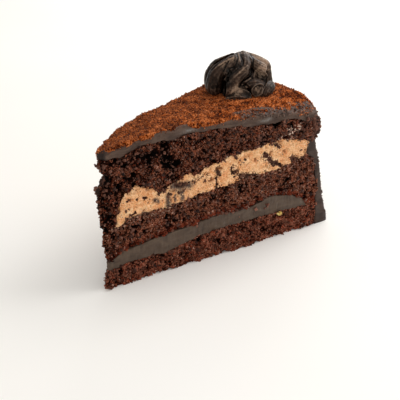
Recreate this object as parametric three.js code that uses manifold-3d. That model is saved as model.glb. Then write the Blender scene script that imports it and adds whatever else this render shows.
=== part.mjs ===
// A slice of chocolate layer cake, resting on its flat base at z = 0, in millimetres, +Z up.
// One cut face lies along X on the -Y side, with the blunt tip at -X and the iced rim at +X.
// Three sponge layers hold a band of dark fudge and a band of milk-chocolate mousse. One coat of
// dark icing covers the top, folds over the rim and flares into a foot, and a piped rosette
// stands on it. A point of the slice is given by its radius about the centre of the whole cake,
// by across, which is 0 on the front cut and 1 on the rear cut, and by its height.
import * as THREE from "three";
import { mergeVertices } from "three/addons/utils/BufferGeometryUtils.js";
import Module from "manifold-3d";

const wasm = await Module();
wasm.setup();

// ---- Driving dimensions ----
const CAKE_RADIUS = 138; // top sponge of the whole cake
const TIP_RADIUS = 26.7; // the slice's blunt tip stops this far from the centre
const WEDGE_ANGLE = THREE.MathUtils.degToRad(24.5);
const CUT_LENGTH = CAKE_RADIUS - TIP_RADIUS;
const MIDDLE = [58.9, 29.9]; // middle of the footprint from the front of the tip: the origin

const GAP = 0.3; // clearance between neighbouring pieces
const ICING_THICKNESS = 3.4;
const SHOULDER_RADIUS = 4; // icing rounding over the rim
const DROOP_REACH = 15; // how far back from the front cut the shoulder slopes
const SPONGE_RELIEF = 1.9; // crags of a cut face
const MOUSSE_RELIEF = 0.7;
const FUDGE_RELIEF = 0.2;
const ICING_RELIEF = 0.35;

const FUDGE_END = 106; // the fudge stops short of the rim
const MOUSSE_START = 2.8; // sponge hangs over the mousse at the tip

const ROSETTE_AT = [82.4, 25.6]; // from the front of the tip
const ROSETTE_RADIUS = 18.7;
const ROSETTE_FACING = 31.33; // degrees that it is turned from the front cut towards the tip
const HEART = [8.8, 7.6, 12.6]; // half sizes of the rosette's core
const LEAST_FACET = 0.2; // finer facets than this are merged

// Heights of each seam along the front cut: [distance from the tip, height].
const LOWER_SEAM = [[0, 8.6], [11, 10.4], [29, 9.6], [46, 13], [64, 13.6], [89, 12.9], [112, 11.6]];
const FUDGE_TOP = [[0, 12.8], [8, 16.8], [29, 18.7], [55, 20.6], [74, 20], [85, 22.4], [96, 20.6],
  [103, 16.6], [106, 13.2]];
const UPPER_SEAM = [[0, 28.4], [11, 30.2], [21, 32], [46, 34], [69, 34.9], [84, 35.6], [96, 37], [105, 39],
  [112, 39.4]];
const MOUSSE_TOP = [[5, 31], [8, 39.2], [11.2, 43.4], [14, 45.4], [17, 45.6], [22, 42.4], [27, 40.2],
  [30.4, 41], [33.4, 42.6], [36.6, 42.7], [38.4, 45.6], [40.8, 46.1], [43.2, 43.9], [46, 43.6], [49, 46],
  [55, 47], [64, 48.8], [76, 49.5], [89, 50.4], [98, 48.8], [105, 46]];
const ICING_TOP = [[0, 65.4], [10, 67], [22, 68.2], [40, 68.6], [62, 68.6], [82, 68.2], [97, 67.4],
  [112, 66]];
const FRONT_DROOP = [[0, 0], [38, 0], [50, 0.7], [63, 1.8], [78, 3.4], [90, 4.8], [100, 6], [112, 7]];
// How much lower the rear cut is than the front one.
const REAR_FALL = [[0, 1], [20, 2.4], [45, 4], [78, 3.6], [98, 1.2], [112, 0.5]];

// Profiles by height: [height, distance from the tip].
const RIM_INSIDE = [[0, 112], [9, 112], [20, 111.4], [30, 110.2], [37, 108.2], [39.5, 104.9], [46, 104.6],
  [48.5, 107], [56, 108.4], [70, 108.4]];
const RIM_OUTSIDE = [[0, 120.6], [3, 120.4], [7, 118.4], [13, 116.6], [20, 115.5], [33, 113.2], [40, 111.4],
  [45, 110.2], [49, 110.8], [54, 111.6], [59, 112.4], [64, 112.2], [70, 111.4]];
const TIP_EDGE = [[0, 0], [7, 0.8], [13, 1.6], [24, 2.2], [30, 2.5], [43, 1.3], [52, 1.8], [60, 0.6],
  [63, 0]];
const TIP_BULGE = [[0, 1.8], [5, 0.8], [10, 0.8], [14, 0], [25, -1.2], [30, -2.8], [36, -3.4], [43, -3.6],
  [48, -2.6], [51, -0.2], [54, 1], [57, 0.8], [60, -0.4], [66, -0.2]];
// The blunt tip seen from above: [across, radius past the front of the tip].
const TIP_SLANT = 19.6; // the tip's rear corner is this much further out than its front corner
const TIP_ROUND = [[0, 0], [0.16, -1.5], [0.34, 0.8], [0.61, 6.1], [0.82, 12.4], [1, TIP_SLANT]];

// Cells of every layer's grid, so that layers and their cutters share facets.
const COLUMNS = 36;
const ROWS = 6;
const THROUGH = 6; // how far a cutter runs out through a face
const SEED = 20173;

// ---- Smooth curves and seeded roughness ----

function smooth(t) {
  return t * t * (3 - 2 * t);
}

// Value of a table at a place, eased between its points and held past its ends.
function along(table, place) {
  if (place <= table[0][0]) return table[0][1];
  for (let i = 1; i < table.length; i++) {
    const [start, from] = table[i - 1];
    const [end, to] = table[i];
    if (place <= end) {
      const t = (place - start) / (end - start);
      return from + (to - from) * (0.5 * t + 0.5 * smooth(t));
    }
  }
  return table.at(-1)[1];
}

// A fixed random number from -1 to 1 for a point of an integer lattice.
function lattice(i, j, k) {
  let h = Math.imul(i, 374761393) ^ Math.imul(j, 668265263) ^ Math.imul(k, 1442695041) ^ SEED;
  h = Math.imul(h ^ (h >>> 13), 1274126177);
  h = Math.imul(h ^ (h >>> 15), 1911520717);
  return ((h ^ (h >>> 16)) >>> 0) / 2 ** 31 - 1;
}

// Smooth noise from -1 to 1 whose bumps are `size` millimetres across.
function noise(x, y, z, size) {
  const at = [x / size, y / size, z / size];
  const cell = at.map(Math.floor);
  const [fx, fy, fz] = at.map((value, axis) => smooth(value - cell[axis]));
  let sum = 0;
  for (let corner = 0; corner < 8; corner++) {
    const [dx, dy, dz] = [corner & 1, (corner >> 1) & 1, corner >> 2];
    const weight = (dx ? fx : 1 - fx) * (dy ? fy : 1 - fy) * (dz ? fz : 1 - fz);
    sum += weight * lattice(cell[0] + dx, cell[1] + dy, cell[2] + dz);
  }
  return sum;
}

// Broad swells with sharper crags on them.
function crags(x, y, z) {
  return 0.55 * noise(x, y, z, 7) + 0.45 * noise(x + 50, y, z, 2.9);
}

// ---- Seams and the top, as heights over the plan ----
function plan(radius, across) {
  const angle = across * WEDGE_ANGLE;
  return [radius * Math.cos(angle) - TIP_RADIUS, radius * Math.sin(angle)];
}

// The radius of a plan point and how far across the slice it lies.
function polar(x, y) {
  const across = Math.atan2(y, x + TIP_RADIUS) / WEDGE_ANGLE;
  return [Math.hypot(x + TIP_RADIUS, y), THREE.MathUtils.clamp(across, 0, 1)];
}

// How far along the slice a point lies, from 0 near the blunt tip to CUT_LENGTH at the rim.
function distance(radius, across) {
  const tip = TIP_RADIUS + TIP_SLANT * across;
  return CUT_LENGTH * (radius - tip) / (CAKE_RADIUS - tip);
}

// A seam follows its table at the front cut and wanders towards the rear.
function seam(table, wander) {
  return (radius, across) => {
    const place = distance(radius, across);
    return along(table, place) + wander * across * noise(place, 40 * across, 9, 14);
  };
}

const lowerSeam = seam(LOWER_SEAM, 1.2);
const fudgeTop = seam(FUDGE_TOP, 1.2);
const upperSeam = seam(UPPER_SEAM, 1.4);
const mousseTop = seam(MOUSSE_TOP, 1.4);

function droop(radius, across) {
  const [, depth] = plan(radius, across);
  const falloff = Math.max(0, 1 - depth / DROOP_REACH);
  return along(FRONT_DROOP, distance(radius, across)) * falloff ** 2;
}

// The top before its edge is rounded: domed along the slice, falling at the rear and at the
// front of the rim.
function dome(radius, across) {
  const place = distance(radius, across);
  return along(ICING_TOP, place) - along(REAR_FALL, place) * across ** 2 - droop(radius, across);
}

function icingTop(radius, across) {
  const past = THREE.MathUtils.clamp(radius - CAKE_RADIUS + SHOULDER_RADIUS, 0, SHOULDER_RADIUS * 0.94);
  const rounding = SHOULDER_RADIUS - Math.sqrt(SHOULDER_RADIUS ** 2 - past ** 2);
  return dome(radius, across) - 0.8 * rounding;
}

const icingUnderside = (radius, across) => dome(radius, across) - ICING_THICKNESS;

// Radius of the tip, which juts out and in with the height.
function tipRadius(across, height) {
  const edge = (1 - across) ** 2 * along(TIP_EDGE, height);
  const bulge = 4 * across * (1 - across) * along(TIP_BULGE, height);
  return TIP_RADIUS + along(TIP_ROUND, across) + edge + bulge;
}

// ---- Making solids ----
function closed(geometry) {
  geometry.deleteAttribute("normal");
  geometry.deleteAttribute("uv");
  return mergeVertices(geometry, 1e-4);
}

// A box of unit size, each of its points moved to place(lengthwise, across, up).
function bentBox(columns, rows, tiers, place) {
  const geometry = closed(new THREE.BoxGeometry(1, 1, 1, columns, rows, tiers));
  const points = geometry.attributes.position;
  for (let i = 0; i < points.count; i++) {
    points.setXYZ(i, ...place(points.getX(i) + 0.5, points.getY(i) + 0.5, points.getZ(i) + 0.5));
  }
  return geometry;
}

function toSolid(geometry) {
  return new wasm.Manifold(new wasm.Mesh({
    numProp: 3,
    vertProperties: new Float32Array(geometry.attributes.position.array),
    triVerts: new Uint32Array(geometry.index.array),
  }));
}

// The largest body of a solid as a geometry, because a cut can leave scraps.
function toGeometry(solid) {
  const [whole] = solid.decompose().sort((a, b) => b.volume() - a.volume());
  const mesh = whole.getMesh();
  return new THREE.BufferGeometry()
    .setAttribute("position", new THREE.BufferAttribute(new Float32Array(mesh.vertProperties), 3))
    .setIndex(new THREE.BufferAttribute(new Uint32Array(mesh.triVerts), 1));
}

// Place of a box's point in the layer's grid, where a cutter has one more cell at each end.
function inGrid(value, count, pad) {
  return THREE.MathUtils.clamp((value * (count + 2 * pad) - pad) / count, 0, 1);
}

// -1 on the first face of a box, 1 on the last and 0 between them.
function faceSign(value) {
  return Math.abs(value - 0.5) > 0.4999 ? Math.sign(value - 0.5) : 0;
}

// A plan point moved out along the slice and out from the cut face beside it.
function moved([x, y], across, endwise, sideways) {
  const angle = across * WEDGE_ANGLE;
  return [
    x + endwise * Math.cos(angle) - sideways * Math.sin(angle),
    y + endwise * Math.sin(angle) + sideways * Math.cos(angle),
  ];
}

// Layer of the slice between two heights, from `start` past the tip out to `reach(height)`.
// `grow` makes a cutter of it that runs right through both cuts: how far it grows past its inner
// end, past its rim end, and up and down. A snug layer keeps the facets of its own cutter.
function layer(shape) {
  const { start = 0, reach, bottom, top, tiers, relief = 0, powder = null } = shape;
  const { grow = null, snug = false } = shape;
  const pad = grow ? 1 : 0;
  return bentBox(COLUMNS + 2 * pad, ROWS + 2 * pad, tiers, (alongBox, acrossBox, up) => {
    const lengthwise = inGrid(alongBox, COLUMNS, pad);
    const across = inGrid(acrossBox, ROWS, pad);
    const heightAt = (radius, side) => THREE.MathUtils.lerp(bottom(radius, side), top(radius, side), up);
    let height = 0;
    let radius = 0;
    for (let pass = 0; pass < 4; pass++) {
      const nearest = tipRadius(across, height) + start;
      radius = THREE.MathUtils.lerp(nearest, TIP_RADIUS + reach(height), lengthwise);
      height = heightAt(radius, across);
    }
    const ends = { length: faceSign(alongBox), side: faceSign(acrossBox) };
    if (grow) {
      const endwise = ends.length > 0 ? grow.rim : ends.length * grow.inner;
      const spot = moved(plan(radius, across), across, endwise, ends.side * THROUGH);
      return [...spot, height + Math.sign(up - 0.5) * grow.height];
    }
    const inner = ends.length < 0;
    const rough = inner && start ? 0 : relief * crags(...plan(radius, across), height);
    const spot = moved(plan(radius, across), across, inner ? -0.8 * rough : 0, ends.side * rough);
    if (snug) return [...spot, height];
    const dust = powder && up > 0.9 ? powder(radius, across) : 0;
    return [...spot, heightAt(...polar(...spot)) + dust];
  });
}

const raised = (surface, by) => (radius, across) => surface(radius, across) + by;
const insideRim = (height) => along(RIM_INSIDE, height) + 1;

// ---- Icing: a slab over the top joined to a coat down the rim ----
function dusted(radius, across) {
  const [x, y] = plan(radius, across);
  const edge = smooth(Math.min(1, 5 * Math.min(across, 1 - across)));
  const clear = Math.hypot(x - ROSETTE_AT[0], y - ROSETTE_AT[1]) > ROSETTE_RADIUS + 3;
  return clear ? edge * ICING_RELIEF * noise(x, y, 0, 2.4) : 0;
}

function icingSlab() {
  return layer({
    reach: (height) => along(RIM_OUTSIDE, height), bottom: raised(icingUnderside, GAP / 2), top: icingTop,
    tiers: 2, relief: ICING_RELIEF, powder: dusted,
  });
}

// The coat down the rim. As a cutter it grows inwards and runs right through both cuts.
function icingCoat(cutter = false) {
  const pad = cutter ? 1 : 0;
  return bentBox(1, ROWS + 2 * pad, 13, (outer, acrossBox, up) => {
    const across = inGrid(acrossBox, ROWS, pad);
    const height = up * (icingUnderside(CAKE_RADIUS, across) + ICING_THICKNESS / 2);
    const swell = up > 0 ? ICING_RELIEF * noise(90 * across, height, 3, 9) : 0;
    const outside = along(RIM_OUTSIDE, height) + swell;
    const inside = along(RIM_INSIDE, height) + GAP * (0.5 - pad);
    const onCut = plan(TIP_RADIUS + (outer ? outside : inside), across);
    return [...moved(onCut, across, 0, pad * faceSign(acrossBox) * THROUGH), height];
  });
}

const slabCutter = toSolid(icingSlab().translate(0, 0, GAP)); // clears what stands on the icing
const coatCutter = toSolid(icingCoat(true)); // clears what the coat wraps

// ---- Sponge layers and fillings ----
const FUDGE = { reach: () => FUDGE_END, bottom: raised(lowerSeam, GAP / 2), top: fudgeTop, snug: true };
const MOUSSE = {
  start: MOUSSE_START, reach: insideRim, bottom: raised(upperSeam, GAP / 2), top: mousseTop, snug: true,
};

const fudgePocket = toSolid(layer({ ...FUDGE, tiers: 2, grow: { inner: THROUGH, rim: GAP, height: GAP } }));
const moussePocket = toSolid(layer({
  ...MOUSSE, tiers: 4, grow: { inner: GAP, rim: THROUGH, height: 2 * GAP },
}));

function sponge(bottom, top, tiers) {
  return toSolid(layer({ reach: insideRim, bottom, top, tiers, relief: SPONGE_RELIEF }));
}

function bottomSponge() {
  return toGeometry(sponge(() => 0, raised(lowerSeam, -GAP / 2), 4).subtract(coatCutter));
}

function fudgeFilling() {
  return layer({ ...FUDGE, tiers: 2, relief: FUDGE_RELIEF });
}

function middleSponge() {
  const whole = sponge(raised(lowerSeam, GAP / 2), raised(upperSeam, -GAP / 2), 5);
  return toGeometry(whole.subtract(fudgePocket).subtract(coatCutter));
}

function mousseFilling() {
  return toGeometry(toSolid(layer({ ...MOUSSE, tiers: 4, relief: MOUSSE_RELIEF })).subtract(coatCutter));
}

function topSponge() {
  const whole = sponge(raised(upperSeam, GAP / 2), raised(icingUnderside, -GAP / 2), 7);
  return toGeometry(whole.subtract(moussePocket).subtract(coatCutter));
}

// ---- Rosette: folds of piped chocolate cream that gather at one peak ----
// Each fold runs along a line of [right, back, up, half width], as seen facing its front, and is
// `depth` times as deep as it is wide. A cupped one is hollowed on the side that it faces.
const FOLDS = [
  { // the fat fold on the left
    line: [[-11.2, -4.4, -1.2, 3.6], [-11.4, -4, 3, 4.2], [-10.2, -2.8, 7.2, 4.4], [-7.4, -1.9, 10.8, 3.8],
      [-4.3, -0.9, 13.6, 2.6], [-1.5, 1.4, 15.4, 1.4]],
  },
  { // the fold above it
    line: [[-6.4, -7.4, 8.8, 1.5], [-5, -6.6, 10.6, 2], [-3.7, -5.2, 12.2, 2.2], [-2.6, -3, 14, 2.1],
      [-1.5, 0.2, 15.6, 1.5], [0.1, 3.6, 15.9, 1.1]],
  },
  { // the lip behind it
    line: [[-13.2, -2.6, 7.4, 1], [-11.5, -1, 10.6, 1.8], [-7.9, 0, 13.4, 2], [-4.2, 1.2, 15.2, 1.6],
      [-1.1, 3.4, 15.9, 1.1]],
    cup: 1.5, facing: [-0.35, -0.65, 0.65],
  },
  { // the fold that backs them
    line: [[-12.8, 2, -1, 2.8], [-13.2, 1.4, 4, 3], [-12.2, 2.6, 7.8, 3], [-9.1, 4, 10.6, 3],
      [-5, 4.6, 12.6, 2.3], [-1.1, 4.6, 15, 1.7]],
    rings: 7,
  },
  { // the fold in the middle
    line: [[-3.2, -9.6, -1, 3], [-3.8, -9.8, 2.6, 3.5], [-4.1, -9.2, 5.2, 3.7], [-3, -8.8, 7.4, 3.5],
      [-0.9, -8.2, 9.5, 3.2], [1.5, -7, 11.3, 2.8], [2.9, -5.2, 13.1, 2.4], [2.8, -1.8, 14.8, 2.2],
      [2.3, 2.2, 15.9, 1.8], [1.7, 4.6, 16.3, 1.1]],
    rings: 13,
  },
  { // its flared foot
    line: [[-6.2, -11.2, 0.8, 1.4], [-3.6, -12.2, 2.2, 2.1], [-0.2, -12.7, 2.8, 2.4], [3, -12.5, 2.1, 2],
      [5.4, -12.3, 0.6, 1.2]],
    depth: 0.8, cup: 0.8, facing: [-0.1, -0.65, 0.75],
  },
  { // the narrow fold beside it
    line: [[-1.6, -7.2, 12.4, 1.2], [-0.7, -4.6, 14.6, 1.6], [0, -0.6, 16, 1.4], [0.9, 3.6, 16.2, 1]],
    sides: 6, rings: 7,
  },
  { // the brow on the right
    line: [[12.4, -2.2, 10.4, 2], [9.6, -3.3, 12.1, 2.6], [6.8, -2.7, 13.6, 2.3], [4, 0.2, 15.2, 1.6]],
    rings: 6,
  },
  { // the cupped fold under it
    line: [[7.8, -4.6, 11.2, 1.6], [8.8, -5.2, 10, 2.9], [9.5, -6, 8.4, 3.4], [9.2, -7, 6.6, 3.1],
      [8.2, -8.2, 4.8, 2.4]],
    depth: 1, cup: 1.3, facing: [0.25, -0.85, 0.45],
  },
  { // the sheet below it
    line: [[2.4, -10.4, 5.6, 1.5], [5.2, -9.4, 6, 2.1], [8.7, -8, 5.6, 2.2], [11.8, -6.6, 4.6, 1.6]],
    depth: 0.8,
  },
  { // the curl
    line: [[7, -11, 0.6, 1.8], [8.1, -10.6, 3.2, 2.7], [9.5, -9.4, 5.6, 2.2]],
    cup: 1.3, facing: [0.1, -0.85, 0.5],
  },
  { // the crumpled foot on the right
    line: [[10.2, -8.2, -1, 2.2], [11.8, -7.2, 1.8, 2.8], [14, -3.8, 2.4, 3], [14.8, -0.4, 1.4, 2.6]],
  },
  { // the broad fold on the right
    line: [[14.4, 0.8, -0.6, 2.6], [13.6, 1.4, 4, 2.5], [13, 2.6, 7.6, 2.6], [12.1, 3.2, 10.4, 2.9],
      [9.3, 3.7, 12.2, 2.7], [5.6, 4.2, 13.9, 2.2], [1.7, 4.4, 15.8, 1.3]],
  },
  { // the small fold on it
    line: [[6.8, -2, 13, 1.7], [6.2, -0.6, 13.9, 1.9], [4.4, 1.6, 15.1, 1.5], [2.4, 3.4, 16, 1]],
    rings: 6,
  },
  { // the three at the back
    line: [[11.6, 8.6, -0.6, 3.6], [10.6, 9.4, 4.6, 4.1], [7.4, 8.6, 8.9, 3.3], [4.2, 6.8, 12.6, 2.3],
      [1.8, 4.6, 15.4, 1.4]],
    rings: 6,
  },
  {
    line: [[3, 13.2, -0.6, 3.4], [1.8, 12.6, 4.8, 4.1], [0.4, 10.4, 9.8, 3.3], [0.4, 7.4, 13.2, 2.3],
      [1, 4.8, 15.4, 1.4]],
    rings: 6,
  },
  {
    line: [[-7, 11.2, -0.6, 3.6], [-7.8, 10.4, 4.8, 4.1], [-6.6, 8.2, 9, 3.2], [-3.4, 6.4, 12.2, 2.3],
      [0.2, 4.6, 15.2, 1.4]],
    rings: 6,
  },
];

// A ball drawn out along the fold's line, with rounded ends.
function fold({ line, depth = 0.9, cup = 0, facing = null, sides = 8, rings = 8 }) {
  const ball = new THREE.SphereGeometry(1, sides, rings).rotateX(Math.PI / 2);
  const geometry = closed(ball);
  const points = geometry.attributes.position;
  const knots = line.map(([right, back, up]) => new THREE.Vector3(right, back, up));
  const curve = new THREE.CatmullRomCurve3(knots, false, "catmullrom");
  const widths = new THREE.SplineCurve(line.map((knot) => new THREE.Vector2(0, knot[3])));
  const length = curve.getLength();
  for (let i = 0; i < points.count; i++) {
    const t = (points.getZ(i) + 1) / 2;
    const centre = curve.getPoint(t);
    const tangent = curve.getTangent(t);
    const width = widths.getPoint(t).y;
    const outward = facing ? new THREE.Vector3(...facing) : centre.clone().setZ(centre.z + 3);
    const side = outward.cross(tangent).normalize();
    const upward = new THREE.Vector3().crossVectors(tangent, side);
    const near = Math.min(1, Math.min(t, 1 - t) * length / (0.9 * width));
    const girth = width * Math.sqrt(1 - (1 - near) ** 2);
    const angle = Math.atan2(points.getY(i), points.getX(i));
    const rise = depth * Math.sin(angle) - cup * Math.max(Math.sin(angle), 0) ** 2;
    centre.addScaledVector(side, girth * Math.cos(angle)).addScaledVector(upward, girth * rise);
    points.setXYZ(i, centre.x, centre.y, centre.z);
  }
  return toSolid(geometry);
}

function rosette() {
  const heart = new THREE.SphereGeometry(1, 10, 6).scale(...HEART);
  const ground = new THREE.BoxGeometry(60, 60, 40).translate(0, 0, -20 - ICING_THICKNESS / 2);
  let whole = toSolid(closed(heart));
  for (const shape of FOLDS) whole = whole.add(fold(shape));
  const seat = along(ICING_TOP, ROSETTE_AT[0]);
  const turned = whole.subtract(toSolid(closed(ground))).rotate([0, 0, -ROSETTE_FACING]);
  const standing = turned.translate([...ROSETTE_AT, seat]);
  return toGeometry(standing.subtract(slabCutter).simplify(LEAST_FACET));
}

// ---- The slice ----
const finish = (color, roughness) => new THREE.MeshStandardMaterial({ color, roughness, metalness: 0 });
const SPONGE_FINISH = finish("#3a1d16", 0.9);
const FUDGE_FINISH = finish("#4a3c35", 0.45);
const MOUSSE_FINISH = finish("#c0875c", 0.7);
const ICING_FINISH = finish("#4c3d35", 0.5);
const ROSETTE_FINISH = finish("#2c201b", 0.35);

const slice = new THREE.Group();

function place(name, geometry, material) {
  const mesh = new THREE.Mesh(geometry, material);
  mesh.name = name;
  slice.add(mesh);
}

place("sponge_bottom", bottomSponge(), SPONGE_FINISH);
place("fudge_filling", fudgeFilling(), FUDGE_FINISH);
place("sponge_middle", middleSponge(), SPONGE_FINISH);
place("mousse_filling", mousseFilling(), MOUSSE_FINISH);
place("sponge_top", topSponge(), SPONGE_FINISH);
place("icing", toGeometry(toSolid(icingSlab()).add(toSolid(icingCoat()))), ICING_FINISH);
place("rosette", rosette(), ROSETTE_FINISH);
slice.position.set(-MIDDLE[0], -MIDDLE[1], 0);

export default slice;
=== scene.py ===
"""Looks of a slice of chocolate layer cake with mousse, fudge, icing, cocoa and a rosette.

Shapes are worked out in millimetres about the front of the slice's blunt tip: +X runs along the
front cut face to the iced rim, +Y to the rear cut face and +Z up. Finished pieces are moved to
the frame's origin and turned into metres. A place in the slice is also given by its radius about
the centre of the whole cake and by across, which is 0 on the front cut and 1 on the rear cut.
"""
from __future__ import annotations

import logging
import math
from dataclasses import dataclass, field
from enum import IntEnum
from typing import Any, Callable, Sequence

import bmesh
import bpy
import numpy as np
from mathutils import Matrix, Vector

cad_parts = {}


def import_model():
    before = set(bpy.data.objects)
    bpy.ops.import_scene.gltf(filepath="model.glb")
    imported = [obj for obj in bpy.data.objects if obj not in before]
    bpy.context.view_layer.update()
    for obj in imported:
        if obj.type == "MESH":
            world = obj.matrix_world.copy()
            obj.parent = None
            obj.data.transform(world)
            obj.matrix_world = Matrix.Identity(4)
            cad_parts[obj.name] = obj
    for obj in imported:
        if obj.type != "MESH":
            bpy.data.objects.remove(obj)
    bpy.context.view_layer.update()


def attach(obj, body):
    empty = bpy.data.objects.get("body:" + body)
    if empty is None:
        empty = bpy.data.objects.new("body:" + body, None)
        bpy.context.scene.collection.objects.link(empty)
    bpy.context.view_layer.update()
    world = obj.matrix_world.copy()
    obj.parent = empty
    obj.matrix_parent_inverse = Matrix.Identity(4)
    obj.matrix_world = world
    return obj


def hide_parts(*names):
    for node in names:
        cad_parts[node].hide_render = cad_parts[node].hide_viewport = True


Array = np.ndarray
Table = Sequence[Sequence[float]]
Span = tuple[float, float]
Triple = tuple[float, float, float]
Height = Callable[[Array, Array], Array]
Shape = bmesh.types.BMesh
Socket = bpy.types.NodeSocket
Value = float | Socket
Tone = str | Socket

log = logging.getLogger("cake")

MM = 0.001
MIDDLE = (58.9, 29.9, 0.0)  # the frame's origin, from the front of the tip
WELD = 0.002  # two points on a grid's edge that lie closer than this are one
TINY = 1e-6  # keeps a mark whose two ends are one point from dividing by nothing
FRONT_DEPTH = 8.0  # how far behind the front cut its marks reach
FINER = 0.45  # size and strength of a pore's ragged edge, as shares of the pore's
HASH_STEPS = (374761393, 668265263, 1442695041)  # these two stir a lattice's indices
HASH_TURNS = ((13, 1274126177), (15, 1911520717))


# ---- Arithmetic ----
def smooth(t: Array) -> Array:
    """Eases t from 0 to 1."""
    t = np.clip(t, 0.0, 1.0)
    return t * t * (3 - 2 * t)


def step(value: Array, low: float, high: float) -> Array:
    """0 where value is at low, 1 at high, eased between."""
    return smooth((value - low) / (high - low))


def along(table: Table, place: Array) -> Array:
    """Reads a table at a place.

    Args:
        table: pairs of place and value, in order.
        place: where to read it.

    Returns:
        The value, eased between the table's points and held past its ends.
    """
    xs, ys = np.array(table, float).T
    held = np.clip(place, xs[0], xs[-1])
    i = np.clip(np.searchsorted(xs, held), 1, len(xs) - 1)
    t = (held - xs[i - 1]) / (xs[i] - xs[i - 1])
    return ys[i - 1] + (ys[i] - ys[i - 1]) * (0.5 * t + 0.5 * smooth(t))


def even_out(points: Array, rounds: int) -> None:
    """Evens out points along their first axis, in place, with the two ends held."""
    for _ in range(rounds):
        points[1:-1] = 0.25 * points[:-2] + 0.5 * points[1:-1] + 0.25 * points[2:]


def off_line(points: Array, start: Array, end: Array) -> Array:
    """Measures how far points of a plane lie from a line.

    Args:
        points: the points, two numbers each.
        start: one end of the line.
        end: its other end.

    Returns:
        The distance of each point.
    """
    run = end - start
    share = np.clip((points - start) @ run / (run @ run), 0, 1)
    return np.linalg.norm(points - start - share[..., None] * run, axis=-1)


def facing(points: Array, reach: int = 2) -> Array:
    """Finds the outward directions of a grid that runs round a body in its columns.

    Args:
        points: rows by columns by 3; the last column repeats the first.
        reach: how many neighbours away the slope is read.

    Returns:
        Unit directions, rows by columns by 3.
    """
    ring = points[:, :-1]
    sideways = np.roll(ring, -reach, axis=1) - np.roll(ring, reach, axis=1)
    rows = np.arange(len(points))
    above, below = np.clip(rows + reach, 0, len(points) - 1), np.clip(rows - reach, 0, None)
    out = np.cross(sideways, ring[above] - ring[below])
    out /= np.maximum(np.linalg.norm(out, axis=-1, keepdims=True), 1e-9)
    return np.concatenate([out, out[:, :1]], axis=1)


def shade(code: str) -> tuple[float, float, float, float]:
    """Turns a colour's hex digits into the linear colour that a shader takes.

    Args:
        code: red, green and blue, two hex digits each.

    Returns:
        The colour, with an alpha of 1.
    """
    parts = [int(code[i:i + 2], 16) / 255 for i in (0, 2, 4)]
    linear = [c / 12.92 if c <= 0.04045 else ((c + 0.055) / 1.055) ** 2.4 for c in parts]
    return (linear[0], linear[1], linear[2], 1.0)


def bell(off: Array, half: float) -> Array:
    """1 where off is 0, falling away on both sides over about half."""
    return np.exp(-(off / half) ** 2)


def later() -> Any:
    """A field that a method fills in."""
    return field(init=False, default=None)


# ---- Roughness ----
@dataclass(frozen=True)
class Roughness:
    """Seeded noise over points in millimetres; with the solids' seed it repeats their crags."""

    seed: int = 20173
    broad: float = 7.0
    sharp: float = 2.9
    broad_share: float = 0.55
    sharp_share: float = 0.45
    jitter: float = 0.42

    def lattice(self, i: Array, j: Array, k: Array) -> Array:
        """Gives each point of an integer lattice its own fixed random number.

        Args:
            i: first index of each point.
            j: second index of each point.
            k: third index of each point.

        Returns:
            The numbers, from -1 to 1.
        """
        a, b, c = (v.astype(np.int64).astype(np.uint32) * np.uint32(stride)
                   for v, stride in zip((i, j, k), HASH_STEPS))
        h = a ^ b ^ c ^ np.uint32(self.seed)
        for shift, factor in HASH_TURNS:
            h = (h ^ (h >> np.uint32(shift))) * np.uint32(factor)
        return (h ^ (h >> np.uint32(16))).astype(float) / 2.0 ** 31 - 1

    def swell(self, points: Array, size: float) -> Array:
        """Gives smooth noise.

        Args:
            points: points in millimetres, on the last axis.
            size: how wide its bumps are.

        Returns:
            The noise at each point, from -1 to 1.
        """
        at = points / size
        cell = np.floor(at)
        part = smooth(at - cell)
        total = np.zeros(points.shape[:-1])
        for n in range(8):
            corner = np.array([n & 1, (n >> 1) & 1, n >> 2])
            weight = np.prod(np.where(corner == 1, part, 1 - part), axis=-1)
            total += weight * self.lattice(*np.moveaxis(cell + corner, -1, 0))
        return total

    def swells(self, points: Array, size: float, shifts: Sequence[float]) -> Array:
        """Smooth noise several times over, once for each shift of the points."""
        return np.stack([self.swell(points + shift, size) for shift in shifts], -1)

    def crags(self, points: Array) -> Array:
        """Broad swells with sharper crags on them, as the solids have."""
        sharp = self.sharp_share * self.swell(points + (50, 0, 0), self.sharp)
        return self.broad_share * self.swell(points, self.broad) + sharp

    def lumps(self, points: Array, size: float) -> Array:
        """Packs space with lumps.

        Args:
            points: points in millimetres, on the last axis.
            size: how far apart the lumps lie.

        Returns:
            How far each point is from the middle of its lump, 0 to about 1.
        """
        at = points / size
        cell = np.floor(at)
        nearest = np.full(points.shape[:-1], 9.0)
        for n in range(27):
            middle = cell + np.array([n % 3 - 1, (n // 3) % 3 - 1, n // 9 - 1])
            i, j, k = np.moveaxis(middle, -1, 0)
            off = [self.lattice(i + 17 * a, j - 9 * a, k + 5 * a) for a in (1, 2, 3)]
            middle = middle + 0.5 + self.jitter * np.stack(off, -1)
            nearest = np.minimum(nearest, np.linalg.norm(middle - at, axis=-1))
        return nearest


SOLID_NOISE = Roughness()
FINE_NOISE = Roughness(seed=911)


def torn(points: Array, size: float, least: float, deep: float) -> Array:
    """Tears ragged pores and cracks.

    Args:
        points: points in millimetres.
        size: how wide the pores are.
        least: how rare they are, 0 to 1.
        deep: depth of a pore, if its noise ran to the full.

    Returns:
        How deep each point sinks.
    """
    drift = FINE_NOISE.swell(points, size) + FINER * FINE_NOISE.swell(points + 21, FINER * size)
    return deep * np.clip(drift - least, 0, 0.5)


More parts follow.
